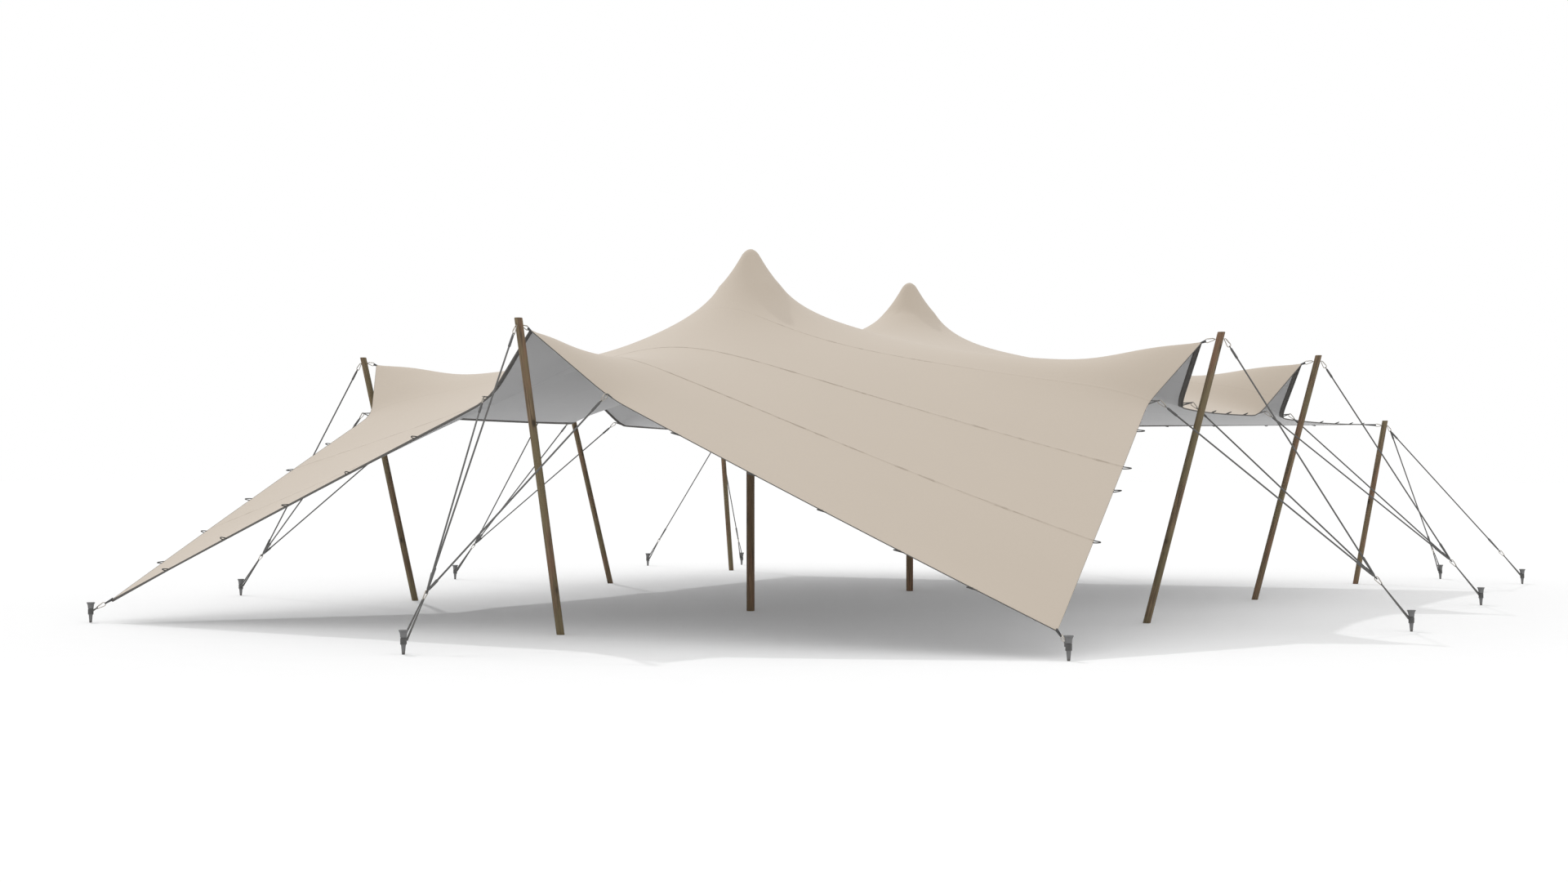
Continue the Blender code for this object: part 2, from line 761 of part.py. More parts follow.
def build_end_stations(group):
    for name, side in (("front", -1), ("back", 1)):
        foot = (0.0, side * END_POLE_FOOT_Y, 0.0)
        top = (0.0, side * END_POLE_TOP_Y, SIDE_TOP_HEIGHT)
        tip = (0.0, side * END_TIP_Y, TIP_HEIGHT)
        edge = end_edge(side)
        folds = [edge_point(edge, place) for place in edge[2]]
        build_mid_station(group, name, foot, top, tip, folds, (0.0, side * END_STAKE_Y))


def build_side_stations(group):
    for side_name, side in (("left", -1), ("right", 1)):
        edge = side_edge(side)
        for row_name, row in (("front", -1), ("back", 1)):
            y = row * POLE_ROW_Y
            folds = [edge_point(edge, place) for place in edge[2] if place * row > 0]
            foot = (side * SIDE_POLE_FOOT_X, y, 0.0)
            top = (side * SIDE_POLE_TOP_X, y, SIDE_TOP_HEIGHT)
            tip = (side * SIDE_TIP_X, y, TIP_HEIGHT)
            stake = (side * SIDE_STAKE_X, row * SIDE_STAKE_Y)
            build_mid_station(group, side_name + "_" + row_name, foot, top, tip, folds, stake)


def build_corner_stations(group):
    for name, side in (("left", -1), ("right", 1)):
        foot = (side * CORNER_POLE_FOOT[0], CORNER_POLE_FOOT[1], 0.0)
        top = (side * CORNER_POLE_TOP[0], CORNER_POLE_TOP[1], CORNER_TOP_HEIGHT)
        build_pole(group, "pole_corner_" + name, foot, top, SIDE_RADIUS, "wood")
        corner = Vector((side * HIGH_CORNER[0], HIGH_CORNER[1], HIGH_CORNER[2]))
        build_tie(group, "tie_corner_" + name, corner, foot, top)
        for place, spot in (("inner", CORNER_STAKE_INNER), ("outer", CORNER_STAKE_OUTER)):
            stake = (side * spot[0], spot[1])
            label = "corner_" + name + "_" + place
            build_stake(group, "stake_" + label, stake[0], stake[1])
            build_corner_guy(group, "guy_" + label, foot, top, stake)


def build_low_corners(group):
    for name, side in (("left", -1), ("right", 1)):
        stake = (side * LOW_STAKE[0], LOW_STAKE[1])
        corner = Vector((side * LOW_CORNER[0], LOW_CORNER[1], LOW_CORNER[2]))
        build_stake(group, "stake_low_" + name, stake[0], stake[1])
        build_strap(group, "strap_low_" + name, corner, stake)


def main():
    clear_scene()
    group = make_collection(COLLECTION_NAME)
    build_canopy(group)
    build_king_poles(group)
    build_end_stations(group)
    build_side_stations(group)
    build_corner_stations(group)
    build_low_corners(group)


main()
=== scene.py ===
# Looks of the stretch tent: membrane, hem, loops, poles, guys and stakes, in metres, ground at z = 0.
# X runs across the ten metre width, Y along the length, and the low corners lie at -Y.
import math

import bpy
import numpy as np
from mathutils import Matrix, Vector


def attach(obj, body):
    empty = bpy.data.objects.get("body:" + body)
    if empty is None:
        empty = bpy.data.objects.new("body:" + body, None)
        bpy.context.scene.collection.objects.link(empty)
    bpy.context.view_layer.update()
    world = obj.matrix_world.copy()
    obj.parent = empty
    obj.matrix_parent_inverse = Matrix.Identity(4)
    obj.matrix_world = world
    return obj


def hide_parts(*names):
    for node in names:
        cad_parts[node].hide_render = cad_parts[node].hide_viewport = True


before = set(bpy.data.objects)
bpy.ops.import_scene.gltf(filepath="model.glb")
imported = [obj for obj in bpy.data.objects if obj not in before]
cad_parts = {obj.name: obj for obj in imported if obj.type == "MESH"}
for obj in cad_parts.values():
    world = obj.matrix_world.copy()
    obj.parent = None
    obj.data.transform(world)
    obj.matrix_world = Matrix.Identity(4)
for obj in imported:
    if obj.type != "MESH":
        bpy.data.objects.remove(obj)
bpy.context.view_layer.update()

ROOT = "root"

# Camera fitted to the photograph
CAMERA_PLACE = (10.582, -23.231, 1.476)
CAMERA_YAW = 0.45195
CAMERA_PITCH = 0.016556
CAMERA_LENS = 49.056
SENSOR_WIDTH = 36.0

# Membrane laid flat, half sizes, and where its lines lie
REST_HALF_WIDTH = 5.0
REST_HALF_LENGTH = 7.5
REST_ACROSS = ((0.0, 0.20, 8), (0.20, 0.80, 12), (0.80, 2.0, 12), (2.0, 5.0, 30))
REST_ALONG = (
    (0.0, 1.5, 14), (1.5, 1.7, 2), (1.7, 2.3, 12), (2.3, 2.7, 16), (2.7, 3.0, 6),
    (3.0, 3.3, 6), (3.3, 4.5, 12), (4.5, 6.0, 15), (6.0, 7.5, 18),
)
FABRIC_THICKNESS = 0.002
RIM_ANGLE = 50.0
# Corner order of a quad seen from below, with the same diagonal as the quad above it
TURNED_QUAD = (0, 3, 2, 1)

# Seams: places along the flat cloth, half width of the overlap and of its foot, and height
SEAM_PLACES = (0.66, 1.98, 3.28, 4.655, 6.04)
SEAM_HALF = 0.010
SEAM_FOOT = 0.014
SEAM_RELIEF = 0.0009
RELIEF_FROM_ROW = 2.7
RELIEF_PAST_ROW = 3.8
# Where the seams' darker line, partly painted shade, fades out or in, as a pair of flat places across or
# along the cloth; PEAK_FADE also fades the seams' relief
PEAK_FADE = (0.35, 0.80)
SIDE_FADE = (2.2, 3.4)
END_FADE = (0.6, 3.4)
MIDDLE_FADE = (2.4, 2.8)
PAST_POLES = (3.6, 4.0)
END_ROWS = (4.2, 4.5)
# Painted seam shade: how much darker the seam line is near the two ends
END_SEAM_SHADE_BOOST = 1.6

# Corners, tips and folds of the rigged membrane
LOW_CORNER = (5.017, -6.704, 0.226)
HIGH_CORNER = (4.952, 6.678, 2.193)
TIP_HEIGHT = 2.815
END_TIP_Y = 6.735
SIDE_TIP_X = 5.04
END_FOLD_HEIGHT = 2.196
END_FOLD_Y = 6.431
END_FOLD_REACH = 0.66
SIDE_FOLD_HEIGHT = 2.190
SIDE_FOLD_X = 4.659
SIDE_FOLD_REACH = 0.605
REST_FOLD = 0.80
REST_POLE = 2.50
POLE_ROW_Y = 2.275
FOLD_ROUNDING = 0.16

# How far the middle of each long edge stands out of the straight line, and how far it hangs below it
FRONT_BOW = (0.055, 0.005)
BACK_BOW = (0.0, -0.002)
SIDE_FRONT_BOW = (0.010, -0.009)
SIDE_MID_BOW = (-0.105, 0.012)
SIDE_BACK_BOW = (-0.054, 0.018)

# Peaks over the king poles
PEAK_HEIGHT = 3.977
CROWN_REACH = 0.35
CROWN_MARGIN = 0.00035
CROWN_STEEP_FROM = 0.090
CROWN_CURVE = 0.141
CROWN_SLOPE = 1.786
CROWN_FLARE = 1.50

# How the relaxed membrane pulls and hangs, places and spreads across and along the flat cloth
SPINE_TENSION = 83.4
SPINE_SPREAD = 1.508
ROW_TENSION = 28.2
ROW_SPREAD = 3.697
HANGING_LOAD = -0.259
SIDE_LIFT = 20.5
SIDE_LIFT_X = 4.61
SIDE_LIFT_SPREAD = (0.463, 0.778)
SIDE_SINK = 16.26
SIDE_SINK_X = 4.011
SIDE_SINK_SPREAD = (0.432, 0.432)
END_LIFT = 94.3
END_LIFT_Y = 7.271
END_LIFT_SPREAD = (0.268, 0.202)
END_SINK = 8.24
END_SINK_Y = 5.043
END_SINK_SPREAD = (0.612, 0.612)
START_HEIGHT = 2.5
START_LENGTH_SHARE = 0.9
SOLVE_STEPS = 3000
SOLVE_LIMIT = 1e-6
NO_DIVISION_BY_ZERO = 1e-30

# Hem along the edge
HEM_WIDTH = 0.055
HEM_DROP = 0.005
HEM_THICKNESS = 0.0016
HEM_TURNS = (0.0, 0.001, 0.004, 0.008, 0.012, 0.016, 0.020, 0.026, 0.031, 0.053, 0.075, 0.077)
# Roll of the hem, from its underside round to the cloth: reach inward and height
HEM_ROLL = (
    (-0.0034, -0.0010), (-0.0046, -0.0060), (-0.0040, -0.0110), (-0.0010, -0.0138), (0.0050, -0.0115),
)
HEM_LIP = 0.0001
# Reaches above the first are shares of the band's width, those below the second grow with the roll
HEM_FLAT_FROM = 0.1
HEM_ROLL_TO = 0.004
# How full the hem's roll is: pairs of a flat place along the edge and a share
FRONT_LEFT_ROLL = ((-5.0, 2.1), (-4.3, 1.3), (-3.2, 1.5), (-1.2, 1.9), (-0.7, 1.2), (-0.1, 0.9))
FRONT_ROLL = FRONT_LEFT_ROLL + ((0.0, 0.35), (5.0, 0.45))
RIGHT_ROLL = ((-7.5, 0.08), (-3.4, 0.10), (-3.2, 0.35), (-1.8, 0.60), (-1.5, 0.8), (7.5, 0.8))
BACK_ROLL = ((-5.0, 0.6), (5.0, 0.6))
LEFT_ROLL = ((-7.5, 0.08), (-1.8, 0.10), (-1.5, 0.55), (7.5, 0.55))
# How wide its band is underneath, as a share of the hem's width
PLAIN_BAND = ((-7.5, 1.0), (7.5, 1.0))
FRONT_BAND = ((-1.3, 1.0), (-0.8, 1.8), (-0.4, 1.45), (0.0, 1.0))
LEFT_BAND = ((2.4, 1.0), (2.6, 0.55), (3.4, 0.55), (3.8, 1.0))

# Loops sewn to the hem
LOOP_LENGTH = 0.070
LOOP_WIDTH = 0.040
LOOP_RADIUS = 0.0052
LOOP_TUCK = 0.012
LOOP_DEPTH = 0.005
LOOP_STEPS = 20
LOOP_SWAY = 0.2
LOOP_SWAY_STEP = 2.4
LOOP_VARIETY = 0.12
LOOP_VARIETY_STEP = 1.7
LOOP_BLUNTNESS = 0.8
LOOP_WAIST = 0.30
LOOP_LEAN = 0.25
END_LOOPS = (-4.32, -3.64, -2.92, -2.26, -1.54, 1.54, 2.30, 2.965, 3.675, 4.31)
RIGHT_LOOPS = (-6.05, -5.13, -4.67, -3.90, -0.62, 0.0, 0.60, 1.24, 5.33, 6.07, 6.75, 7.30)
LEFT_LOOPS = (-6.75, -6.11, -5.385, -4.69, -4.06, -0.51, 0.27, 1.11, 5.11, 5.86, 6.62)
# Rise, length and lean along the edge of its loops, from a flat place onward
LOOP_SHAPES = (
    ((-5.0, 0.10, 1.20, 0.0), (0.0, -0.10, 0.95, -1.2)),
    ((-7.5, -0.03, 1.0, 0.0), (-3.5, 0.42, 0.62, 0.0)),
    ((-5.0, -0.12, 1.0, 0.0),),
    ((-7.5, 0.08, 1.25, 0.0), (-3.5, 0.40, 0.62, 0.0)),
)

# Poles
KING_RADIUS = 0.045
SIDE_RADIUS = 0.0375
SIDE_TOP_HEIGHT = 2.91
END_POLE_FOOT_Y = 6.20
END_POLE_TOP_Y = 6.93
SIDE_POLE_FOOT_X = 4.464
SIDE_POLE_TOP_X = 5.236
CORNER_POLE_FOOT = (4.818, 6.60, 0.0)
CORNER_POLE_TOP = (5.168, 6.923, 2.246)
POLE_SIDES = 32
POLE_RINGS = 64
POLE_CHAMFER = 0.004
POLE_CHAMFER_IN = POLE_CHAMFER * 0.6
POLE_WAVER = 0.0012
POLE_HOLLOW = 0.6
# First seed of the pattern of each group of poles
END_SEED = 1
SIDE_SEED = 3
CORNER_SEED = 8
KING_SEED = 11
HEAD_RADIUS = 0.060
HEAD_HEIGHT = 0.088
HEAD_GAP = 0.0004
HEAD_SIDES = 40
HEAD_STEPS = 8
HEAD_SHOULDER = 0.88
HEAD_FOOT = 0.86
HEAD_FOOT_GAP = 0.0025
KING_TOP_GAP = 0.003

# Stakes, radius and height from the top down
STAKE_PROFILE = (
    (0.0, 0.2050), (0.030, 0.2050), (0.0390, 0.2047), (0.0405, 0.2035), (0.0405, 0.1960),
    (0.0396, 0.1942), (0.0372, 0.1922), (0.0338, 0.1860), (0.0312, 0.1780), (0.0294, 0.1690),
    (0.0282, 0.1590), (0.0276, 0.1490), (0.0272, 0.1420), (0.0262, 0.1405), (0.0222, 0.1400),
    (0.0218, 0.0800), (0.0204, 0.0770), (0.0196, 0.0740), (0.0176, 0.0520), (0.0150, 0.0250),
    (0.0128, 0.0), (0.0, 0.0),
)
STAKE_SIDES = 48
STAKE_FLUTES = 16
FLUTE_DEPTH = 0.0007
FLUTE_LOW = 0.145
FLUTE_HIGH = 0.190
END_STAKE_Y = 8.655
SIDE_STAKE_X = 7.062
SIDE_STAKE_Y = 2.31
CORNER_STAKES = (("inner", (5.64, 8.566, 0.0)), ("outer", (6.88, 7.585, 0.0)))
LOW_STAKE = (5.158, -6.847, 0.0)

# Rigging
ROPE_RADIUS = 0.0082
SLEEVE_TIP_RADIUS = 0.0115
SLEEVE_RADIUS = 0.0130
SLEEVE_LENGTH = 0.13
SLEEVE_END = 0.012
SLEEVE_GAP = 0.010
LOWER_SLEEVE_RADIUS = 0.014
LOWER_SLEEVE_LENGTH = 0.22
SHORT_SLEEVE_LENGTH = 0.13
ROPE_OVERLAP = 0.02
LINK_LENGTH = 0.103
LINK_WIRE = 0.0042
LINK_WIDE = 0.0190
LINK_NARROW = 0.0085
LINK_OVERLAP = 0.012
GATE_RADIUS = 0.0052
GATE_PARTS = (0.10, 0.5, 0.90)
RIVET_REACH = 1.25
FOLD_STRAP_REACH = 0.085
END_STRAP_REACH = 0.040
BACK_STRAP_REACH = 0.065
FOLD_STRAP_RISE = 0.012
FOLD_STRAP_HALF = 0.028
FOLD_STRAP_CORD = 0.0062
EYE_LENGTH = 0.034
EYE_WIDTH = 0.018
EYE_RADIUS = 0.0042
EYE_TAPER = 0.35
EYE_SHIFT = EYE_LENGTH * 0.22
RING_REACH = 0.0140
RING_RADIUS = 0.0090
RING_WIRE = 0.0024
JUNCTION_INSET = 0.33
JUNCTION_HEIGHT = 0.505
CORNER_JUNCTION_PART = 0.17
TIE_BELOW_TOP = 0.07
STRAND_RADIUS = 0.0060
SLING_SWELL = 0.55
WRAP_CORD = 0.0030
WRAP_CENTRE = 0.0250
WRAP_LOW = 0.080
WRAP_HIGH = 0.140
WRAP_MIDDLE = (WRAP_LOW + WRAP_HIGH) / 2
WRAP_STEPS = 28
WRAP_SIDES = 8
WRAP_TIGHTNESS = 1.03
SLING_RISE = 0.008
SLING_BACK = 0.018
SLING_TUCK = 0.004
SLING_BEND = 0.007
SLING_STEPS = 10
WEB_WIDTH = 0.028
WEB_NARROW = 0.55
WEB_THICKNESS = 0.0026
WEB_TUCK = 0.020
STRAP_WEB_LENGTH = 0.074
LOW_LINK_LENGTH = 0.104
TUBE_SIDES = 12
WIRE_SIDES = 10
HALF_TURN_STEPS = 6
EYE_STEPS = 16
RING_STEPS = 20
SLEEVE_STEPS = 12
SLEEVE_NOSE = 0.55
WIDE_STEPS = 12
NARROW_STEPS = 8

# Light
WORLD_STRENGTH = 1.0
SUN_STRENGTH = 0.75
SUN_ANGLE = 1.5
SUN_ELEVATION = 44.4
SUN_BEARING = 234.0
FLOOR_SIZE = 900.0
FLOOR_COLOUR = 0.88
FLOOR_SPECK_SHARE = 0.985
VIEW_DISTANCE = 2000.0

# Noise patterns: scale, detail, roughness and, where drawn out, the stretch
CLOTH_CLOUD = (0.55, 4.0, 0.55)
CLOTH_FINE = (38.0, 5.0, 0.65)
CLOTH_SLACK = (2.6, 3.0, 0.5)
CLOTH_PUCKERS = (16.0, 2.0, 0.5, (1.0, 0.35, 1.0))
SEAM_SHADE = (7.0, 3.0, 0.6)
SEAM_WAVER = (5.0, 2.0, 0.5)
WEB_WEAR = (24.0, 4.0, 0.6)
CORD_WEAR = (30.0, 4.0, 0.6)
WOOD_GRAIN = (90.0, 5.0, 0.6, (1.0, 1.0, 0.035))
WOOD_FINE = (260.0, 3.0, 0.6, (1.0, 1.0, 0.03))
WOOD_STAIN = (9.0, 4.0, 0.6, (1.0, 1.0, 0.16))
WOOD_BLOTCH = (5.0, 3.0, 0.5, (1.0, 1.0, 0.35))
RING_WAVER = (40.0, 3.0, 0.5)
HEAD_RUB = (18.0, 4.0, 0.6)
HEAD_GRAIN = (600.0, 2.0, 0.5)
STEEL_CLOUD = (26.0, 5.0, 0.6)
STEEL_SCRATCH = (240.0, 3.0, 0.6, (1.0, 1.0, 0.12))
FLOOR_SPECK = (3.0, 2.0, 0.5)

# Cloth: stitches, seam lines that are partly painted shade, weave and unevenness
STITCH_OFFSET = 0.0065
STITCH_ROW = (0.0006, 0.0014)
STITCH_LENGTH = 0.004
STITCH_DASH = (0.0024, 0.0034)
STITCH_SHARE = 0.5
SEAM_WAVER_WIDTH = 0.044
SEAM_PATCHES = (0.42, 0.58)
SEAM_PATCH_BASE = 0.5
CLOTH_SPECKS = 0.10
WEAVE_PITCH = 0.0018
WEAVE_HEIGHT = 0.00003
PUCKER_HEIGHT = 0.003
PUCKER_REACH = (0.01, 0.16)
SLACK_HEIGHT = 0.004

# Webbing and cord
WEB_RIB = 0.0024
CROSS_RIB = 0.0030
CROSS_SHARE = 0.4
WEB_RIB_HEIGHT = 0.00012
WEB_FADE = 1.7
CORD_FADE = 2.2
BRAID_SLANT = 1.6
BRAID_HEIGHT = 0.0002
FINE_BRAID = 0.0030
COARSE_BRAID = 0.0042

# Wood: how far each pole's pattern is shifted, and the noise values between which each mark ends
SEED_SHIFT = (1.7, 0.9, 2.3)
KNOT_SPACING = (7.0, 7.0, 3.2)
KNOT_EDGE = (0.07, 0.17)
HALO_EDGE = (0.12, 0.34)
GRAIN_EDGE = (0.36, 0.62)
STAIN_EDGE = (0.38, 0.52)
BLOTCH_EDGE = (0.42, 0.56)
CRACK_EDGE = (0.30, 0.36)
KNOT_DARKNESS = 0.35
WOOD_HEIGHT = 0.0016
GROWTH_RING = 0.0032
GROWTH_RING_HEIGHT = 0.0004
RING_WAVER_WIDTH = 0.006

# Head cover and iron
HEAD_GRAIN_HEIGHT = 0.0008
SCRATCH_HEIGHT = 0.0004
SOIL_EDGE = (0.004, 0.045)
SOIL_SHARE = 0.5
SOIL_COLOUR = (0.11, 0.075, 0.05)

# Wood colours: brown, deep, red and olive
SIDE_WOOD = ((0.208, 0.147, 0.087), (0.086, 0.061, 0.038), (0.202, 0.110, 0.068), (0.152, 0.128, 0.068))
KING_WOOD = ((0.215, 0.136, 0.080), (0.088, 0.055, 0.034), (0.216, 0.104, 0.060), (0.158, 0.112, 0.064))


# Node helpers

class Paint:
    """One material, with a short way to add each kind of node."""

    def __init__(self, name):
        self.material = bpy.data.materials.new(name)
        self.material.use_nodes = True
        self.tree = self.material.node_tree

    def put(self, socket, value):
        """Links a node's output to a socket, or gives the socket a plain value."""
        if isinstance(value, bpy.types.NodeSocket):
            self.tree.links.new(value, socket)
        else:
            socket.default_value = value

    def node(self, kind, inputs, **settings):
        made = self.tree.nodes.new(kind)
        for key, value in settings.items():
            setattr(made, key, value)
        for key, value in inputs.items():
            self.put(made.inputs[key], value)
        return made

    def shade(self, values):
        shader = self.tree.nodes["Principled BSDF"]
        for key, value in values.items():
            self.put(shader.inputs[key], value)

    def bump(self, height, strength):
        """Bump by a height in metres."""
        made = self.node("ShaderNodeBump", {"Height": height, "Strength": strength, "Distance": 1.0})
        self.shade({"Normal": made.outputs[0]})

    def math(self, operation, *values):
        return self.node("ShaderNodeMath", dict(enumerate(values)), operation=operation).outputs[0]

    def times(self, first, second):
        return self.math("MULTIPLY", first, second)

    def scaled(self, value, factor, offset):
        return self.math("MULTIPLY_ADD", value, factor, offset)

    def wave(self, value, length):
        return self.math("SINE", self.times(value, math.tau / length))

    def below(self, value, low, high):
        """One where value is below low, zero above high, smooth between them."""
        made = self.node(
            "ShaderNodeMapRange",
            {"Value": value, "From Min": low, "From Max": high, "To Min": 1.0, "To Max": 0.0},
            interpolation_type="SMOOTHSTEP",
        )
        return made.outputs["Result"]

    def above(self, value, low, high):
        return self.math("SUBTRACT", 1.0, self.below(value, low, high))

    def mixed(self, part, first, second):
        inputs = {0: part, 6: opaque(first), 7: opaque(second)}
        return self.node("ShaderNodeMix", inputs, data_type="RGBA").outputs[2]

    def stretched(self, place, stretch):
        return self.node("ShaderNodeMapping", {"Vector": place, "Scale": stretch}).outputs[0]

    def noise(self, place, scale, detail, rough, stretch=None):
        if stretch:
            place = self.stretched(place, stretch)
        inputs = {"Vector": place, "Scale": scale, "Detail": detail, "Roughness": rough}
        return self.node("ShaderNodeTexNoise", inputs).outputs["Fac"]

    def parts(self, place):
        return self.node("ShaderNodeSeparateXYZ", {0: place}).outputs

    def flat_place(self):
        """The piece's UV map, laid out in metres."""
        return self.node("ShaderNodeUVMap", {}, uv_map="flat").outputs[0]

    def object_place(self):
        return self.node("ShaderNodeTexCoord", {}).outputs["Object"]


def opaque(colour):
    return (*colour, 1.0) if isinstance(colour, tuple) else colour


def grey(value):
    return (value, value, value)


def times_colour(colour, factor):
    return tuple(min(1.0, part * factor) for part in colour)


# Materials

def seam_distance(paint, place):
    """Distance to the nearest seam across the width, measured on the flat cloth."""
    along_cloth = paint.math("ABSOLUTE", paint.parts(place)[1])
    nearest = REST_HALF_LENGTH
    for seam in SEAM_PLACES:
        away = paint.math("ABSOLUTE", paint.math("SUBTRACT", along_cloth, seam))
        nearest = paint.math("MINIMUM", nearest, away)
    return nearest


def stitch_rows(paint, place, away):
    """Two rows of stitches beside each seam."""
    offset = paint.math("ABSOLUTE", paint.math("SUBTRACT", away, STITCH_OFFSET))
    dash = paint.math("PINGPONG", paint.parts(place)[0], STITCH_LENGTH)
    return paint.times(paint.below(offset, *STITCH_ROW), paint.below(dash, *STITCH_DASH))


def seam_shade_strength(paint, place):
    """Strength of the seams' line, partly painted shade: it shows on the slopes beside the two ends and
    fades at the peaks, the sides and between.
    """
    split = paint.parts(place)
    sideways = paint.math("ABSOLUTE", split[0])
    lengthways = paint.math("ABSOLUTE", split[1])
    beside_peak = paint.times(paint.above(split[0], *PEAK_FADE), paint.below(sideways, *SIDE_FADE))
    beside_peak = paint.times(beside_peak, paint.above(lengthways, *MIDDLE_FADE))
    strength = paint.math("MAXIMUM", beside_peak, paint.above(lengthways, *PAST_POLES))
    near_ends = paint.times(paint.above(lengthways, *END_ROWS), paint.below(sideways, *END_FADE))
    return paint.scaled(near_ends, END_SEAM_SHADE_BOOST, strength)


def seam_overlap_and_shade(paint, place, away, share):
    """Uneven darker line where two strips overlap, partly painted shade of the seam's raised edge."""
    waver = paint.scaled(paint.noise(place, *SEAM_WAVER), SEAM_WAVER_WIDTH, -SEAM_WAVER_WIDTH / 2)
    overlap = paint.below(paint.math("ADD", away, waver), SEAM_HALF, SEAM_FOOT)
    patches = paint.below(paint.noise(place, *SEAM_SHADE), *SEAM_PATCHES)
    overlap = paint.times(overlap, paint.times(share, paint.math("ADD", patches, SEAM_PATCH_BASE)))
    return paint.times(overlap, seam_shade_strength(paint, place))


def fabric_material(name, light, dark, seam, rough, seam_shade_share):
    paint = Paint(name)
    place = paint.flat_place()
    away = seam_distance(paint, place)
    fine = paint.noise(place, *CLOTH_FINE)
    colour = paint.mixed(paint.noise(place, *CLOTH_CLOUD), light, dark)
    colour = paint.mixed(paint.times(fine, CLOTH_SPECKS), colour, seam)
    # The seams' darker overlap colour is partly painted shade of their raised edge
    colour = paint.mixed(seam_overlap_and_shade(paint, place, away, seam_shade_share), colour, seam)
    colour = paint.mixed(paint.times(stitch_rows(paint, place, away), STITCH_SHARE), colour, seam)
    paint.shade({
        "Base Color": colour,
        "Roughness": paint.scaled(fine, 0.12, rough - 0.06),
        "Sheen Weight": 0.12,
        "Sheen Roughness": 0.5,
        "Specular IOR Level": 0.25,
    })
    split = paint.parts(place)
    weave = paint.times(paint.wave(split[0], WEAVE_PITCH), paint.wave(split[1], WEAVE_PITCH))
    puckers = paint.times(paint.noise(place, *CLOTH_PUCKERS), PUCKER_HEIGHT)
    puckers = paint.times(puckers, paint.below(away, *PUCKER_REACH))
    height = paint.scaled(weave, WEAVE_HEIGHT, puckers)
    paint.bump(paint.scaled(paint.noise(place, *CLOTH_SLACK), SLACK_HEIGHT, height), strength=0.55)
    return paint.material


def webbing_material(name, colour):
    """Woven webbing: ribs across and along, faded where it is worn."""
    paint = Paint(name)
    place = paint.flat_place()
    split = paint.parts(place)
    ribs = paint.scaled(paint.wave(split[0], CROSS_RIB), CROSS_SHARE, paint.wave(split[1], WEB_RIB))
    wear = paint.noise(place, *WEB_WEAR)
    light = times_colour(colour, WEB_FADE)
    faded = paint.mixed(paint.times(wear, 0.55), colour, light)
    paint.shade({
        "Base Color": paint.mixed(paint.scaled(ribs, 0.12, 0.15), faded, light),
        "Roughness": paint.scaled(wear, 0.15, 0.72),
        "Specular IOR Level": 0.3,
    })
    paint.bump(paint.times(ribs, WEB_RIB_HEIGHT), strength=0.7)
    return paint.material


def braid_material(name, colour, pitch):
    """Braided cord: two sets of strands that cross on the slant round the cord."""
    paint = Paint(name)
    place = paint.flat_place()
    split = paint.parts(place)
    turn = paint.times(split[0], math.tau / pitch)
    run = paint.times(split[1], math.tau / (pitch * BRAID_SLANT))
    right = paint.math("SINE", paint.math("ADD", turn, run))
    left = paint.math("SINE", paint.math("SUBTRACT", turn, run))
    strands = paint.times(right, left)
    wear = paint.noise(place, *CORD_WEAR)
    part = paint.scaled(wear, 0.20, paint.scaled(strands, 0.14, 0.12))
    paint.shade({
        "Base Color": paint.mixed(part, colour, times_colour(colour, CORD_FADE)),
        "Roughness": paint.scaled(wear, 0.12, 0.74),
        "Sheen Weight": 0.1,
    })
    paint.bump(paint.times(strands, BRAID_HEIGHT), strength=0.8)
    return paint.material


def wood_material(name, seed, brown, deep, red, olive):
    """Weathered pole: grain along the pole, drawn-out stains, small dark knots and fine cracks."""
    paint = Paint(name)
    shift = tuple(seed * step for step in SEED_SHIFT)
    place = paint.node("ShaderNodeVectorMath", {0: paint.object_place(), 1: shift}, operation="ADD")
    place = place.outputs[0]
    grain = paint.noise(place, *WOOD_GRAIN)
    cells = {"Vector": paint.stretched(place, KNOT_SPACING), "Scale": 1.0, "Randomness": 1.0}
    distance = paint.node("ShaderNodeTexVoronoi", cells).outputs["Distance"]
    knot = paint.below(distance, *KNOT_EDGE)
    crack = paint.below(paint.noise(place, *WOOD_FINE), *CRACK_EDGE)
    black = times_colour(deep, KNOT_DARKNESS)
    colour = paint.mixed(paint.below(grain, *GRAIN_EDGE), brown, deep)
    for mask, share, tint in (
        (paint.below(paint.noise(place, *WOOD_STAIN), *STAIN_EDGE), 0.65, red),
        (paint.below(paint.noise(place, *WOOD_BLOTCH), *BLOTCH_EDGE), 0.65, olive),
        (paint.below(distance, *HALO_EDGE), 0.35, deep),
        (knot, 0.85, black),
        (crack, 0.6, black),
    ):
        colour = paint.mixed(paint.times(mask, share), colour, tint)
    paint.shade({
        "Base Color": colour,
        "Roughness": paint.scaled(grain, 0.25, 0.58),
        "Specular IOR Level": 0.3,
    })
    height = paint.scaled(crack, -0.8, paint.scaled(knot, 0.8, grain))
    paint.bump(paint.times(height, WOOD_HEIGHT), strength=0.7)
    return paint.material


def end_grain_material(name, brown, deep):
    """Sawn end: growth rings round the heart."""
    paint = Paint(name)
    split = paint.parts(paint.object_place())
    across = paint.node("ShaderNodeCombineXYZ", {0: split[0], 1: split[1]}).outputs[0]
    reach = paint.node("ShaderNodeVectorMath", {0: across}, operation="LENGTH").outputs["Value"]
    reach = paint.scaled(paint.noise(across, *RING_WAVER), RING_WAVER_WIDTH, reach)
    rings = paint.wave(reach, GROWTH_RING)
    paint.shade({
        "Base Color": paint.mixed(paint.scaled(rings, 0.3, 0.45), brown, deep),
        "Roughness": 0.85,
    })
    paint.bump(paint.times(rings, GROWTH_RING_HEIGHT), strength=0.6)
    return paint.material


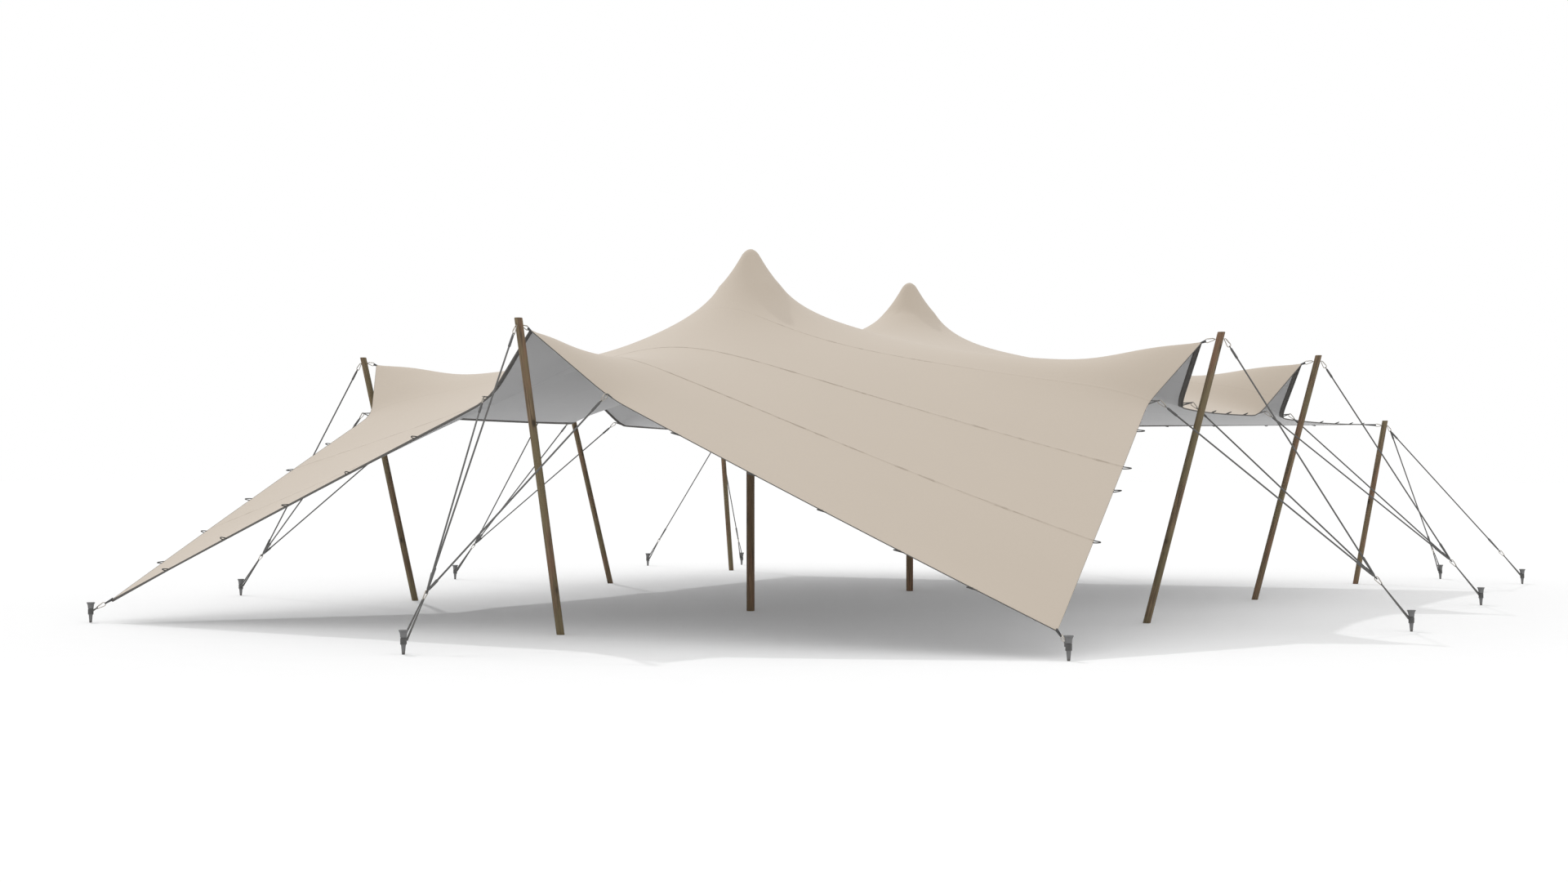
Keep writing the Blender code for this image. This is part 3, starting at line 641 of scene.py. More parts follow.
def head_material(name, dark, rubbed):
    """Black padded cover of the pole head, with a coarse weave and rubbed spots."""
    paint = Paint(name)
    place = paint.object_place()
    rub = paint.noise(place, *HEAD_RUB)
    paint.shade({
        "Base Color": paint.mixed(rub, dark, rubbed),
        "Roughness": paint.scaled(rub, 0.2, 0.6),
    })
    paint.bump(paint.times(paint.noise(place, *HEAD_GRAIN), HEAD_GRAIN_HEIGHT), strength=0.6)
    return paint.material


def steel_material(name, light, dark, rough, metal):
    """Dull steel with cloudy scale, scratches and a little brown near the ground."""
    paint = Paint(name)
    place = paint.object_place()
    cloud = paint.noise(place, *STEEL_CLOUD)
    scratch = paint.noise(place, *STEEL_SCRATCH)
    soil = paint.times(paint.below(paint.parts(place)[2], *SOIL_EDGE), SOIL_SHARE)
    paint.shade({
        "Base Color": paint.mixed(paint.times(soil, cloud), paint.mixed(cloud, light, dark), SOIL_COLOUR),
        "Roughness": paint.scaled(scratch, 0.25, rough - 0.12),
        "Metallic": metal,
    })
    paint.bump(paint.times(scratch, SCRATCH_HEIGHT), strength=0.5)
    return paint.material


def floor_material():
    paint = Paint("floor_paper")
    speck = paint.noise(paint.object_place(), *FLOOR_SPECK)
    light = grey(FLOOR_COLOUR)
    paint.shade({
        "Base Color": paint.mixed(speck, light, times_colour(light, FLOOR_SPECK_SHARE)),
        "Roughness": 1.0,
        "Specular IOR Level": 0.0,
    })
    return paint.material


# Mesh helpers

class Form:
    """Collects the faces of one piece, with their flat map and material slots."""

    def __init__(self):
        self.points = []
        self.faces = []
        self.maps = []
        self.slots = []

    def add(self, points, faces, maps, slot):
        first = len(self.points)
        self.points.extend(tuple(point) for point in points)
        self.faces.extend(tuple(first + number for number in face) for face in faces)
        self.maps.extend(maps)
        self.slots.extend([slot] * len(faces))

    def add_face(self, numbers, places, slot):
        self.faces.append(tuple(numbers))
        self.maps.append(tuple(places))
        self.slots.append(slot)

    def make(self, name, materials, slot, stands_for=()):
        mesh = bpy.data.meshes.new(name)
        mesh.from_pydata(self.points, [], self.faces)
        layer = mesh.uv_layers.new(name="flat")
        corners = np.array([value for face in self.maps for pair in face for value in pair], np.float32)
        layer.data.foreach_set("uv", corners)
        mesh.polygons.foreach_set("material_index", self.slots)
        mesh.polygons.foreach_set("use_smooth", [True] * len(self.faces))
        mesh.update()
        for material in materials:
            mesh.materials.append(material)
        return place_piece(bpy.data.objects.new(name, mesh), stands_for)


def place_piece(piece, stands_for):
    bpy.context.scene.collection.objects.link(piece)
    if stands_for:
        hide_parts(*stands_for)
    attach(piece, ROOT)
    return piece


def strip_faces(rings, around, closed_run, lengths, turns):
    """Faces and flat map of rings of points that are joined one to the next."""
    faces = []
    maps = []
    last = rings if closed_run else rings - 1
    for ring in range(last):
        following = (ring + 1) % rings
        for side in range(around):
            beside = (side + 1) % around
            faces.append((
                ring * around + side,
                ring * around + beside,
                following * around + beside,
                following * around + side,
            ))
            maps.append((
                (turns[side], lengths[ring]),
                (turns[side + 1], lengths[ring]),
                (turns[side + 1], lengths[ring + 1]),
                (turns[side], lengths[ring + 1]),
            ))
    return faces, maps


def run_frames(path, closed, side):
    """Heading and two crosswise directions at each point of a path, carried along without twist."""
    path = np.asarray(path, float)
    if closed:
        ahead = np.roll(path, -1, 0) - np.roll(path, 1, 0)
    else:
        ahead = np.gradient(path, axis=0)
    ahead /= np.linalg.norm(ahead, axis=1)[:, None]
    if side is None:
        side = np.cross(ahead[0], (0.0, 0.0, 1.0))
        if np.linalg.norm(side) < 0.1:
            side = np.cross(ahead[0], (1.0, 0.0, 0.0))
    crosswise = np.zeros_like(path)
    current = np.asarray(side, float)
    for number, heading in enumerate(ahead):
        current = current - heading * current.dot(heading)
        current = current / np.linalg.norm(current)
        crosswise[number] = current
    return ahead, crosswise, np.cross(ahead, crosswise)


def sweep(form, path, section, slot, closed=False, side=None, scales=None):
    """A closed body along a path, with the section's outline round it and flat ends."""
    path = np.asarray(path, float)
    section = np.asarray(section, float)
    ahead, crosswise, upward = run_frames(path, closed, side)
    scales = np.ones(len(path)) if scales is None else np.asarray(scales, float)
    points = []
    for number, place in enumerate(path):
        for across, up in section * scales[number]:
            points.append(place + crosswise[number] * across + upward[number] * up)
    around = len(section)
    outline = np.linalg.norm(np.roll(section, -1, 0) - section, axis=1)
    turns = np.concatenate([[0.0], np.cumsum(outline)])
    steps = np.linalg.norm(np.diff(path, axis=0), axis=1)
    lengths = np.concatenate([[0.0], np.cumsum(steps)])
    if closed:
        lengths = np.append(lengths, lengths[-1] + np.linalg.norm(path[0] - path[-1]))
    faces, maps = strip_faces(len(path), around, closed, lengths, turns)
    if not closed:
        for ring, order in ((0, -1), (len(path) - 1, 1)):
            numbers = [ring * around + step for step in range(around)][::order]
            faces.append(tuple(numbers))
            maps.append(tuple(tuple(section[number % around]) for number in numbers))
    form.add(points, faces, maps, slot)


def circle(radius, sides):
    """Outline of a round section."""
    return [
        (radius * math.cos(math.tau * side / sides), radius * math.sin(math.tau * side / sides))
        for side in range(sides)
    ]


def tape(width, thickness):
    """Outline of a flat webbing with rounded borders."""
    half = width / 2
    edge = thickness / 2
    return [
        (half, -edge * 0.4),
        (half, edge * 0.4),
        (half - edge, edge),
        (0.0, edge),
        (edge - half, edge),
        (-half, edge * 0.4),
        (-half, -edge * 0.4),
        (edge - half, -edge),
        (0.0, -edge),
        (half - edge, -edge),
    ]


def half_turn(centre, first, second):
    """Points of a half turn that starts along first and passes over second, without its ends."""
    angles = [math.pi * step / HALF_TURN_STEPS for step in range(1, HALF_TURN_STEPS)]
    return [centre + first * math.cos(angle) + second * math.sin(angle) for angle in angles]


def along(start, end, steps):
    return [start + (end - start) * step / steps for step in range(steps + 1)]


def turned(profile, sides, ripple=None):
    """Points, faces and flat map of a profile turned round the upright axis."""
    form = Form()
    rings = []
    for radius, height in profile:
        ring = []
        for side in range(sides):
            angle = math.tau * side / sides
            reach = radius + (ripple(angle, height) if ripple and radius > 0.0 else 0.0)
            ring.append((reach * math.cos(angle), reach * math.sin(angle), height))
        rings.append(ring if radius > 0.0 else ring[:1])
    starts = []
    points = []
    for ring in rings:
        starts.append(len(points))
        points.extend(ring)
    faces = []
    maps = []
    for number in range(len(rings) - 1):
        upper = rings[number]
        lower = rings[number + 1]
        for side in range(sides):
            beside = (side + 1) % sides
            corners = []
            for ring, start, step in (
                (upper, starts[number], side),
                (lower, starts[number + 1], side),
                (lower, starts[number + 1], beside),
                (upper, starts[number], beside),
            ):
                corner = start + (step if len(ring) > 1 else 0)
                if corner not in corners:
                    corners.append(corner)
            faces.append(tuple(corners))
            maps.append(tuple((points[corner][0], points[corner][2]) for corner in corners))
    form.add(points, faces, maps, 0)
    return form


# Membrane

def spaced(pieces):
    values = [pieces[0][0]]
    for low, high, count in pieces:
        for step in range(1, count + 1):
            values.append(low + (high - low) * step / count)
    return np.array(values)


def mirrored(values):
    return np.concatenate([-values[:0:-1], values])


def polyline_point(rest, anchors, value):
    number = 0
    while number < len(rest) - 2 and value > rest[number + 1] + 1e-9:
        number += 1
    part = (value - rest[number]) / (rest[number + 1] - rest[number])
    return anchors[number] + (anchors[number + 1] - anchors[number]) * part


def edge_point(edge, value):
    """Point on a rounded and slightly bowed edge, at that place of the flat cloth."""
    rest, anchors, folds, bows = edge
    point = polyline_point(rest, anchors, value)
    for fold in folds:
        if abs(value - fold) < FOLD_ROUNDING:
            before = polyline_point(rest, anchors, fold - FOLD_ROUNDING)
            after = polyline_point(rest, anchors, fold + FOLD_ROUNDING)
            corner = polyline_point(rest, anchors, fold)
            part = (value - fold + FOLD_ROUNDING) / (2 * FOLD_ROUNDING)
            point = before * (1 - part) ** 2 + corner * 2 * part * (1 - part) + after * part ** 2
    for low, high, bow in zip(rest[:-1], rest[1:], bows):
        if low <= value <= high:
            part = (value - low) / (high - low)
            point = point + bow * (4 * part * (1 - part))
    return point


def on_side(place, side):
    """The place on the right, or on the left where side is -1."""
    return np.array((side * place[0], place[1], place[2]))


def end_edge(side):
    corner = LOW_CORNER if side < 0 else HIGH_CORNER
    anchors = [
        on_side(corner, -1),
        np.array((-END_FOLD_REACH, side * END_FOLD_Y, END_FOLD_HEIGHT)),
        np.array((0.0, side * END_TIP_Y, TIP_HEIGHT)),
        np.array((END_FOLD_REACH, side * END_FOLD_Y, END_FOLD_HEIGHT)),
        on_side(corner, 1),
    ]
    rest = [-REST_HALF_WIDTH, -REST_FOLD, 0.0, REST_FOLD, REST_HALF_WIDTH]
    out, down = FRONT_BOW if side < 0 else BACK_BOW
    bow = np.array((0.0, side * out, -down))
    straight = np.zeros(3)
    return rest, anchors, [-REST_FOLD, REST_FOLD], [bow, straight, straight, bow]


def side_edge(side):
    rest = [-REST_HALF_LENGTH]
    anchors = [on_side(LOW_CORNER, side)]
    folds = []
    for row in (-1, 1):
        for reach in (-1, 0, 1):
            rest.append(row * REST_POLE + reach * REST_FOLD)
            if reach:
                place = (side * SIDE_FOLD_X, row * POLE_ROW_Y + reach * SIDE_FOLD_REACH, SIDE_FOLD_HEIGHT)
                folds.append(rest[-1])
            else:
                place = (side * SIDE_TIP_X, row * POLE_ROW_Y, TIP_HEIGHT)
            anchors.append(np.array(place))
    rest.append(REST_HALF_LENGTH)
    anchors.append(on_side(HIGH_CORNER, side))
    bows = [np.zeros(3)] * (len(rest) - 1)
    for number, (out, down) in ((0, SIDE_FRONT_BOW), (3, SIDE_MID_BOW), (6, SIDE_BACK_BOW)):
        bows[number] = np.array((side * out, 0.0, -down))
    return rest, anchors, folds, bows


def crown_drop(reach):
    """How far the membrane lies below the peak, that far from the king pole's axis."""
    beyond = reach - CROWN_STEEP_FROM
    steep = CROWN_STEEP_FROM ** 2 / CROWN_CURVE + CROWN_SLOPE * beyond - CROWN_FLARE * beyond ** 2
    return np.where(reach < CROWN_STEEP_FROM, reach ** 2 / CROWN_CURVE, steep)


def pin_membrane(points, fixed, across, lengthwise):
    for side, row in ((-1, 0), (1, -1)):
        edge = end_edge(side)
        for column, value in enumerate(across):
            points[column, row] = edge_point(edge, value)
        edge = side_edge(side)
        for line, value in enumerate(lengthwise):
            points[row, line] = edge_point(edge, value)
    fixed[0] = True
    fixed[-1] = True
    fixed[:, 0] = True
    fixed[:, -1] = True
    for row in (-1, 1):
        offset = lengthwise[None, :] - row * REST_POLE
        reach = np.hypot(across[:, None], offset)
        near = reach <= CROWN_REACH + CROWN_MARGIN
        crown = np.stack([
            np.broadcast_to(across[:, None], reach.shape),
            np.broadcast_to(row * POLE_ROW_Y + offset, reach.shape),
            PEAK_HEIGHT - crown_drop(reach),
        ], -1)
        points[near] = crown[near]
        fixed |= near


def line_spans(values):
    """Width of the strip of cloth that belongs to each line."""
    spans = np.zeros(len(values))
    spans[:-1] += np.diff(values) / 2
    spans[1:] += np.diff(values) / 2
    return spans


def spring_strengths(across, lengthwise):
    widths = line_spans(across)
    lengths = line_spans(lengthwise)
    rows = np.exp(-((lengthwise - REST_POLE) / ROW_SPREAD) ** 2)
    rows += np.exp(-((lengthwise + REST_POLE) / ROW_SPREAD) ** 2)
    across_pull = lengths[None, :] / np.diff(across)[:, None] * (1 + ROW_TENSION * rows)[None, :]
    spine = np.exp(-(across / SPINE_SPREAD) ** 2)
    along_pull = widths[:, None] / np.diff(lengthwise)[None, :] * (1 + SPINE_TENSION * spine)[:, None]
    return across_pull, along_pull, widths[:, None] * lengths[None, :]


def swell(across, lengthwise, x, y, spread, amount):
    """A load that is strongest at one place of the flat cloth and fades round it."""
    fade = ((across - x) / spread[0])[:, None] ** 2 + ((lengthwise - y) / spread[1])[None, :] ** 2
    return amount * np.exp(-fade)


def cloth_load(across, lengthwise):
    """Load on each square metre: the sewn tips stand up stiffly, and the cloth sinks behind them."""
    load = np.full((len(across), len(lengthwise)), HANGING_LOAD)
    for side in (-1, 1):
        for row in (-REST_POLE, REST_POLE):
            load += swell(across, lengthwise, side * SIDE_LIFT_X, row, SIDE_LIFT_SPREAD, SIDE_LIFT)
            load -= swell(across, lengthwise, side * SIDE_SINK_X, row, SIDE_SINK_SPREAD, SIDE_SINK)
        load += swell(across, lengthwise, 0.0, side * END_LIFT_Y, END_LIFT_SPREAD, END_LIFT)
        load -= swell(across, lengthwise, 0.0, side * END_SINK_Y, END_SINK_SPREAD, END_SINK)
    return load


def pull_of(points, across_pull, along_pull):
    total = np.zeros_like(points)
    step = (points[1:] - points[:-1]) * across_pull[..., None]
    total[:-1] -= step
    total[1:] += step
    step = (points[:, 1:] - points[:, :-1]) * along_pull[..., None]
    total[:, :-1] -= step
    total[:, 1:] += step
    return total


def relax(points, fixed, across_pull, along_pull, weights):
    """Moves the free points to where the springs and the load balance."""
    free = (~fixed)[..., None].astype(float)
    diagonal = np.zeros(fixed.shape)
    diagonal[:-1] += across_pull
    diagonal[1:] += across_pull
    diagonal[:, :-1] += along_pull
    diagonal[:, 1:] += along_pull
    scale = free / diagonal[..., None]
    load = np.zeros_like(points)
    load[..., 2] = weights
    rest = (load - pull_of(points, across_pull, along_pull)) * free
    guide = scale * rest
    heading = guide.copy()
    measure = (rest * guide).sum((0, 1))
    for _ in range(SOLVE_STEPS):
        answer = pull_of(heading, across_pull, along_pull) * free
        stride = measure / np.maximum((heading * answer).sum((0, 1)), NO_DIVISION_BY_ZERO)
        points += stride * heading
        rest -= stride * answer
        if np.sqrt((rest * rest).sum()) < SOLVE_LIMIT:
            break
        guide = scale * rest
        following = (rest * guide).sum((0, 1))
        heading = guide + following / np.maximum(measure, NO_DIVISION_BY_ZERO) * heading
        measure = following
    return points


def membrane_points():
    across = mirrored(spaced(REST_ACROSS))
    lengthwise = mirrored(spaced(REST_ALONG))
    points = np.zeros((len(across), len(lengthwise), 3))
    points[..., 0] = across[:, None]
    points[..., 1] = lengthwise[None, :] * START_LENGTH_SHARE
    points[..., 2] = START_HEIGHT
    fixed = np.zeros(points.shape[:2], bool)
    pin_membrane(points, fixed, across, lengthwise)
    across_pull, along_pull, areas = spring_strengths(across, lengthwise)
    points = relax(points, fixed, across_pull, along_pull, cloth_load(across, lengthwise) * areas)
    return across, lengthwise, points


def with_seam_lines(lengthwise, points):
    """Adds lines beside each seam, on the smooth curve through the lines that are there."""
    wanted = set(lengthwise)
    for place in SEAM_PLACES:
        for offset in (-SEAM_FOOT, -SEAM_HALF, SEAM_HALF, SEAM_FOOT):
            wanted.update((place + offset, -place - offset))
    finer = np.array(sorted(wanted))
    slopes = np.gradient(points, lengthwise, axis=1)
    before = np.clip(np.searchsorted(lengthwise, finer, side="right") - 1, 0, len(lengthwise) - 2)
    gap = lengthwise[before + 1] - lengthwise[before]
    part = ((finer - lengthwise[before]) / gap)[None, :, None]
    gap = gap[None, :, None]
    first = points[:, before]
    second = points[:, before + 1]
    made = first * (2 * part ** 3 - 3 * part ** 2 + 1) + second * (3 * part ** 2 - 2 * part ** 3)
    made += slopes[:, before] * gap * (part ** 3 - 2 * part ** 2 + part)
    made += slopes[:, before + 1] * gap * (part ** 3 - part ** 2)
    return finer, made


def surface_normals(points):
    across = np.gradient(points, axis=0)
    lengthwise = np.gradient(points, axis=1)
    normals = np.cross(across, lengthwise)
    return normals / np.linalg.norm(normals, axis=2)[..., None]


def seam_relief(across, lengthwise):
    """Height of the overlaps, which lie flat between the peaks and on the left slope beside them."""
    rows = np.abs(lengthwise)
    away = np.min([np.abs(rows - place) for place in SEAM_PLACES], axis=0)
    overlap = np.clip((SEAM_FOOT - away) / (SEAM_FOOT - SEAM_HALF), 0.0, 1.0)
    past_peak = np.clip((across - PEAK_FADE[0]) / (PEAK_FADE[1] - PEAK_FADE[0]), 0.0, 1.0)[:, None]
    raised = np.where(rows > RELIEF_PAST_ROW, 1.0, np.where(rows > RELIEF_FROM_ROW, past_peak, 0.0))
    return SEAM_RELIEF * overlap * raised


def build_canopy(across, lengthwise, points, normals, top, under):
    columns, rows = points.shape[:2]
    relief = seam_relief(across, lengthwise)[..., None]
    upper = points + normals * relief
    lower = points - normals * (FABRIC_THICKNESS + relief)
    form = Form()
    numbers = np.arange(columns * rows).reshape(columns, rows)
    flat = np.stack(np.meshgrid(across, lengthwise, indexing="ij"), -1)
    corners = (
        (slice(None, -1), slice(None, -1)),
        (slice(1, None), slice(None, -1)),
        (slice(1, None), slice(1, None)),
        (slice(None, -1), slice(1, None)),
    )
    faces = np.stack([numbers[corner] for corner in corners], -1).reshape(-1, 4)
    maps = np.stack([flat[corner] for corner in corners], -2).reshape(-1, 4, 2)
    form.add(upper.reshape(-1, 3), faces.tolist(), maps.tolist(), 0)
    form.add(lower.reshape(-1, 3), faces[:, TURNED_QUAD].tolist(), maps[:, TURNED_QUAD].tolist(), 1)
    rim = np.concatenate([numbers[:, 0], numbers[-1, 1:], numbers[-2::-1, -1], numbers[0, -2:0:-1]])
    place = flat.reshape(-1, 2)
    below = columns * rows
    for first, second in zip(rim, np.roll(rim, -1)):
        corners = (first + below, second + below, second, first)
        form.add_face(corners, (place[first], place[second], place[second], place[first]), 1)
    canopy = form.make("canopy_fabric", [top, under], "membrane", ["canopy"])
    canopy.data.set_sharp_from_angle(angle=math.radians(RIM_ANGLE))
    return canopy


def inward_place(line, distance):
    """Point on a line of the cloth, that far in from the edge."""
    left = distance
    for first, second in zip(line[:-1], line[1:]):
        step = np.linalg.norm(second - first)
        if step >= left:
            return first + (second - first) * left / step
        left -= step
    return line[-1]


def edge_runs(across, lengthwise, points, normals):
    """The four edges, each as its flat places, lines leading inward, normals and cloth side."""
    return (
        (across, points, normals[:, 0]),
        (lengthwise, points[::-1].transpose(1, 0, 2), normals[-1]),
        (across[::-1], points[::-1, ::-1], normals[::-1, -1]),
        (lengthwise[::-1], points[:, ::-1].transpose(1, 0, 2), normals[0, ::-1]),
    )


def build_hem(runs, material):
    """A band folded over a rolled edge, its wide part underneath."""
    form = Form()
    rolls = (FRONT_ROLL, RIGHT_ROLL, BACK_ROLL, LEFT_ROLL)
    bands = (FRONT_BAND, PLAIN_BAND, PLAIN_BAND, LEFT_BAND)
    for number, ((rest, lines, normals), roll, wide) in enumerate(zip(runs, rolls, bands)):
        layer = HEM_THICKNESS * (1.0 + 0.5 * (number % 2))
        band = -FABRIC_THICKNESS - layer
        section = ((0.0032, HEM_LIP), (0.0027, 0.8 * layer), (-0.0008, layer)) + HEM_ROLL
        section += ((0.0100, band), (0.5, band), (1.0, band), (1.0, HEM_LIP - FABRIC_THICKNESS))
        shares = np.interp(rest, *zip(*roll))
        widths = np.interp(rest, *zip(*wide)) * HEM_WIDTH
        points = []
        for line, normal, share, width in zip(lines, normals, shares, widths):
            edge = line[0]
            border = inward_place(line, width)
            inward = (border - edge) / np.linalg.norm(border - edge)
            for reach, height in section:
                reach = reach * width if reach > HEM_FLAT_FROM else reach
                reach = reach * share if reach < HEM_ROLL_TO else reach
                height = height if height >= band else band + (height - band) * share
                points.append(edge + inward * reach + normal * height)
        around = len(section)
        turns = HEM_TURNS + (2 * HEM_TURNS[-1],)
        steps = [np.linalg.norm(b[0] - a[0]) for a, b in zip(lines[:-1], lines[1:])]
        lengths = np.concatenate([[0.0], np.cumsum(steps)])
        faces, maps = strip_faces(len(lines), around, False, lengths, turns)
        keep = [index for index in range(len(faces)) if index % around != around - 1]
        form.add(points, [faces[index] for index in keep], [maps[index] for index in keep], 0)
        for ring, order in ((0, -1), (len(lines) - 1, 1)):
            corner = len(form.points) - len(points) + ring * around
            places = [(turn, 0.0) for turn in HEM_TURNS]
            form.add_face(range(corner, corner + around)[::order], places[::order], 0)
    return form.make("canopy_hem", [material], "guy_rope")


def run_place(run, value):
    """Edge point, heading along the edge, outward direction and normal at that flat place."""
    rest, lines, normals = run
    ordered = rest if rest[-1] > rest[0] else -rest
    wanted = value if rest[-1] > rest[0] else -value
    number = int(np.clip(np.searchsorted(ordered, wanted) - 1, 0, len(rest) - 2))
    part = (wanted - ordered[number]) / (ordered[number + 1] - ordered[number])
    edge = lines[number][0] * (1 - part) + lines[number + 1][0] * part
    inner = inward_place(lines[number], HEM_WIDTH) * (1 - part)
    inner = inner + inward_place(lines[number + 1], HEM_WIDTH) * part
    heading = lines[number + 1][0] - lines[number][0]
    heading /= np.linalg.norm(heading)
    outward = edge - inner
    outward -= heading * outward.dot(heading)
    outward /= np.linalg.norm(outward)
    return edge, heading, outward, normals[number]


def build_loop(form, edge, heading, outward, normal, number, rise, share, lean):
    """A leaf of cord that stands out from the edge, its two ends sewn under the hem."""
    out = np.array((outward[0], outward[1], rise))
    out += heading * (lean + LOOP_SWAY * math.sin(number * LOOP_SWAY_STEP))
    out /= np.linalg.norm(out)
    length = LOOP_LENGTH * share * (1.0 + LOOP_VARIETY * math.sin(number * LOOP_VARIETY_STEP))
    path = []
    for step in range(LOOP_STEPS + 1):
        turn = math.pi * step / LOOP_STEPS
        reach = math.sin(turn) ** LOOP_BLUNTNESS
        spread = math.cos(turn) * (1.0 - LOOP_WAIST * math.sin(turn)) + LOOP_LEAN * math.sin(turn) ** 2
        path.append(
            edge - outward * LOOP_TUCK - normal * LOOP_DEPTH
            + out * (length + LOOP_TUCK) * reach
            + heading * spread * LOOP_WIDTH / 2
        )
    sweep(form, path, circle(LOOP_RADIUS, WIRE_SIDES), 0)


def build_loops(runs, material):
    form = Form()
    number = 0
    places = (END_LOOPS, RIGHT_LOOPS, END_LOOPS, LEFT_LOOPS)
    for run, values, shapes in zip(runs, places, LOOP_SHAPES):
        for value in values:
            shape = [shape[1:] for shape in shapes if value >= shape[0]][-1]
            build_loop(form, *run_place(run, value), number, *shape)
            number += 1
    return form.make("canopy_loops", [material], "guy_rope")


# Poles

def pole_matrix(foot, top):
    """Turns the upright axis onto the pole and moves it to the foot."""
    turn = (Vector(top) - Vector(foot)).to_track_quat("Z", "Y").to_matrix().to_4x4()
    return Matrix.Translation(foot) @ turn


def build_pole(name, foot, top, radius, materials, slot, seed):
    """A timber pole whose ends are sawn level, a little uneven along its length."""
    place = pole_matrix(foot, top)
    axis = Vector(top) - Vector(foot)
    length = axis.length
    form = Form()
    points = []
    heights = [0.0, POLE_CHAMFER]
    heights += [length * ring / POLE_RINGS for ring in range(1, POLE_RINGS)]
    heights += [length - POLE_CHAMFER, length]
    for number, height in enumerate(heights):
        at_end = number in (0, len(heights) - 1)
        for side in range(POLE_SIDES):
            angle = math.tau * side / POLE_SIDES
            waver = math.sin(angle * 2 + height * 1.3 + seed)
            waver += math.sin(angle * 3 - height * 2.1 + seed * 2)
            reach = radius + POLE_WAVER * (waver / 2 - POLE_HOLLOW) - (POLE_CHAMFER_IN if at_end else 0.0)
            spot = Vector((reach * math.cos(angle), reach * math.sin(angle), 0.0))
            level = (place.to_3x3() @ spot).z * length / axis.z
            share = sum(max(0.0, 1.0 - away / (4 * radius)) for away in (height, length - height))
            points.append((spot.x, spot.y, height - level * share))
    turns = [math.tau * radius * side / POLE_SIDES for side in range(POLE_SIDES + 1)]
    faces, maps = strip_faces(len(heights), POLE_SIDES, False, heights, turns)
    form.add(points, faces, maps, 0)
    for ring, order in ((0, -1), (len(heights) - 1, 1)):
        numbers = [ring * POLE_SIDES + side for side in range(POLE_SIDES)][::order]
        form.add_face(numbers, [points[number][:2] for number in numbers], 1)
    piece = form.make(name + "_timber", materials, slot, [name])
    piece.matrix_world = place
    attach(piece, ROOT)


def build_head(name, y, material):
    """A squat padded dome that carries the peak of the membrane."""
    top = PEAK_HEIGHT - FABRIC_THICKNESS - HEAD_GAP
    profile = [(0.0, top)]
    for step in range(1, HEAD_STEPS + 1):
        reach = HEAD_RADIUS * HEAD_SHOULDER * step / HEAD_STEPS
        profile.append((reach, top - reach ** 2 / CROWN_CURVE - HEAD_GAP))
    edge = profile[-1][1]
    foot = PEAK_HEIGHT - HEAD_HEIGHT - HEAD_FOOT_GAP
    for step in range(1, HEAD_STEPS + 1):
        angle = math.pi * step / (HEAD_STEPS + 1)
        reach = HEAD_RADIUS * (HEAD_SHOULDER + (1.0 - HEAD_SHOULDER) * math.sin(angle))
        profile.append((reach, edge - (edge - foot) * (1 - math.cos(angle)) / 2))
    profile += [(HEAD_RADIUS * HEAD_FOOT, foot), (0.0, foot)]
    form = turned(profile, HEAD_SIDES)
    form.points = [(x, depth + y, height) for x, depth, height in form.points]
    piece = form.make(name + "_pad", [material], "pole_head", [name])


# Stakes

def flute(angle, height):
    if FLUTE_LOW < height < FLUTE_HIGH:
        return FLUTE_DEPTH * math.cos(angle * STAKE_FLUTES)
    return 0.0


def build_stake(name, x, y, material):
    form = turned(STAKE_PROFILE, STAKE_SIDES, flute)
    piece = form.make(name + "_iron", [material], "stake_steel", [name])
    piece.matrix_world = Matrix.Translation((x, y, 0.0))
    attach(piece, ROOT)


# Rigging

RIG_MATERIALS = ("rope", "sleeve", "metal", "webbing")
ROPE, SLEEVE, METAL, WEBBING = range(len(RIG_MATERIALS))


def make_rig(form, label, ending, palette):
    """Makes a piece of rigging that stands for the node of that label."""
    materials = [palette[key] for key in RIG_MATERIALS]
    form.make(label + ending, materials, "guy_rope", [label])


def unit(vector):
    vector = np.asarray(vector, float)
    return vector / np.linalg.norm(vector)


def pear_path(start, end, side, wide_at_start):
    """Closed pear-shaped wire path between two points, and its straight gate side."""
    if not wide_at_start:
        return pear_path(end, start, side, True)
    heading = unit(end - start)
    sideways = unit(side - heading * np.dot(side, heading))
    far = np.linalg.norm(end - start) - LINK_NARROW
    slant = math.asin((LINK_WIDE - LINK_NARROW) / (far - LINK_WIDE))
    path = []
    for centre, radius, first, sweep_angle, steps in (
        (LINK_WIDE, LINK_WIDE, math.pi / 2 - slant, math.pi + 2 * slant, WIDE_STEPS),
        (far, LINK_NARROW, 1.5 * math.pi + slant, math.pi - 2 * slant, NARROW_STEPS),
    ):
        for step in range(steps + 1):
            angle = first + sweep_angle * step / steps
            path.append((centre + radius * math.cos(angle), radius * math.sin(angle)))
    path = [start + heading * ahead + sideways * across for ahead, across in path]
    gate = [path[-1] + (path[0] - path[-1]) * part for part in GATE_PARTS]
    return path, gate


def upright(heading):
    """Direction square to the heading in the upright plane that holds it."""
    return unit(np.array((0.0, 0.0, 1.0)) - heading * heading[2])


def crosswise(heading):
    """Level direction square to the heading."""
    return unit((-heading[1], heading[0], 0.0))


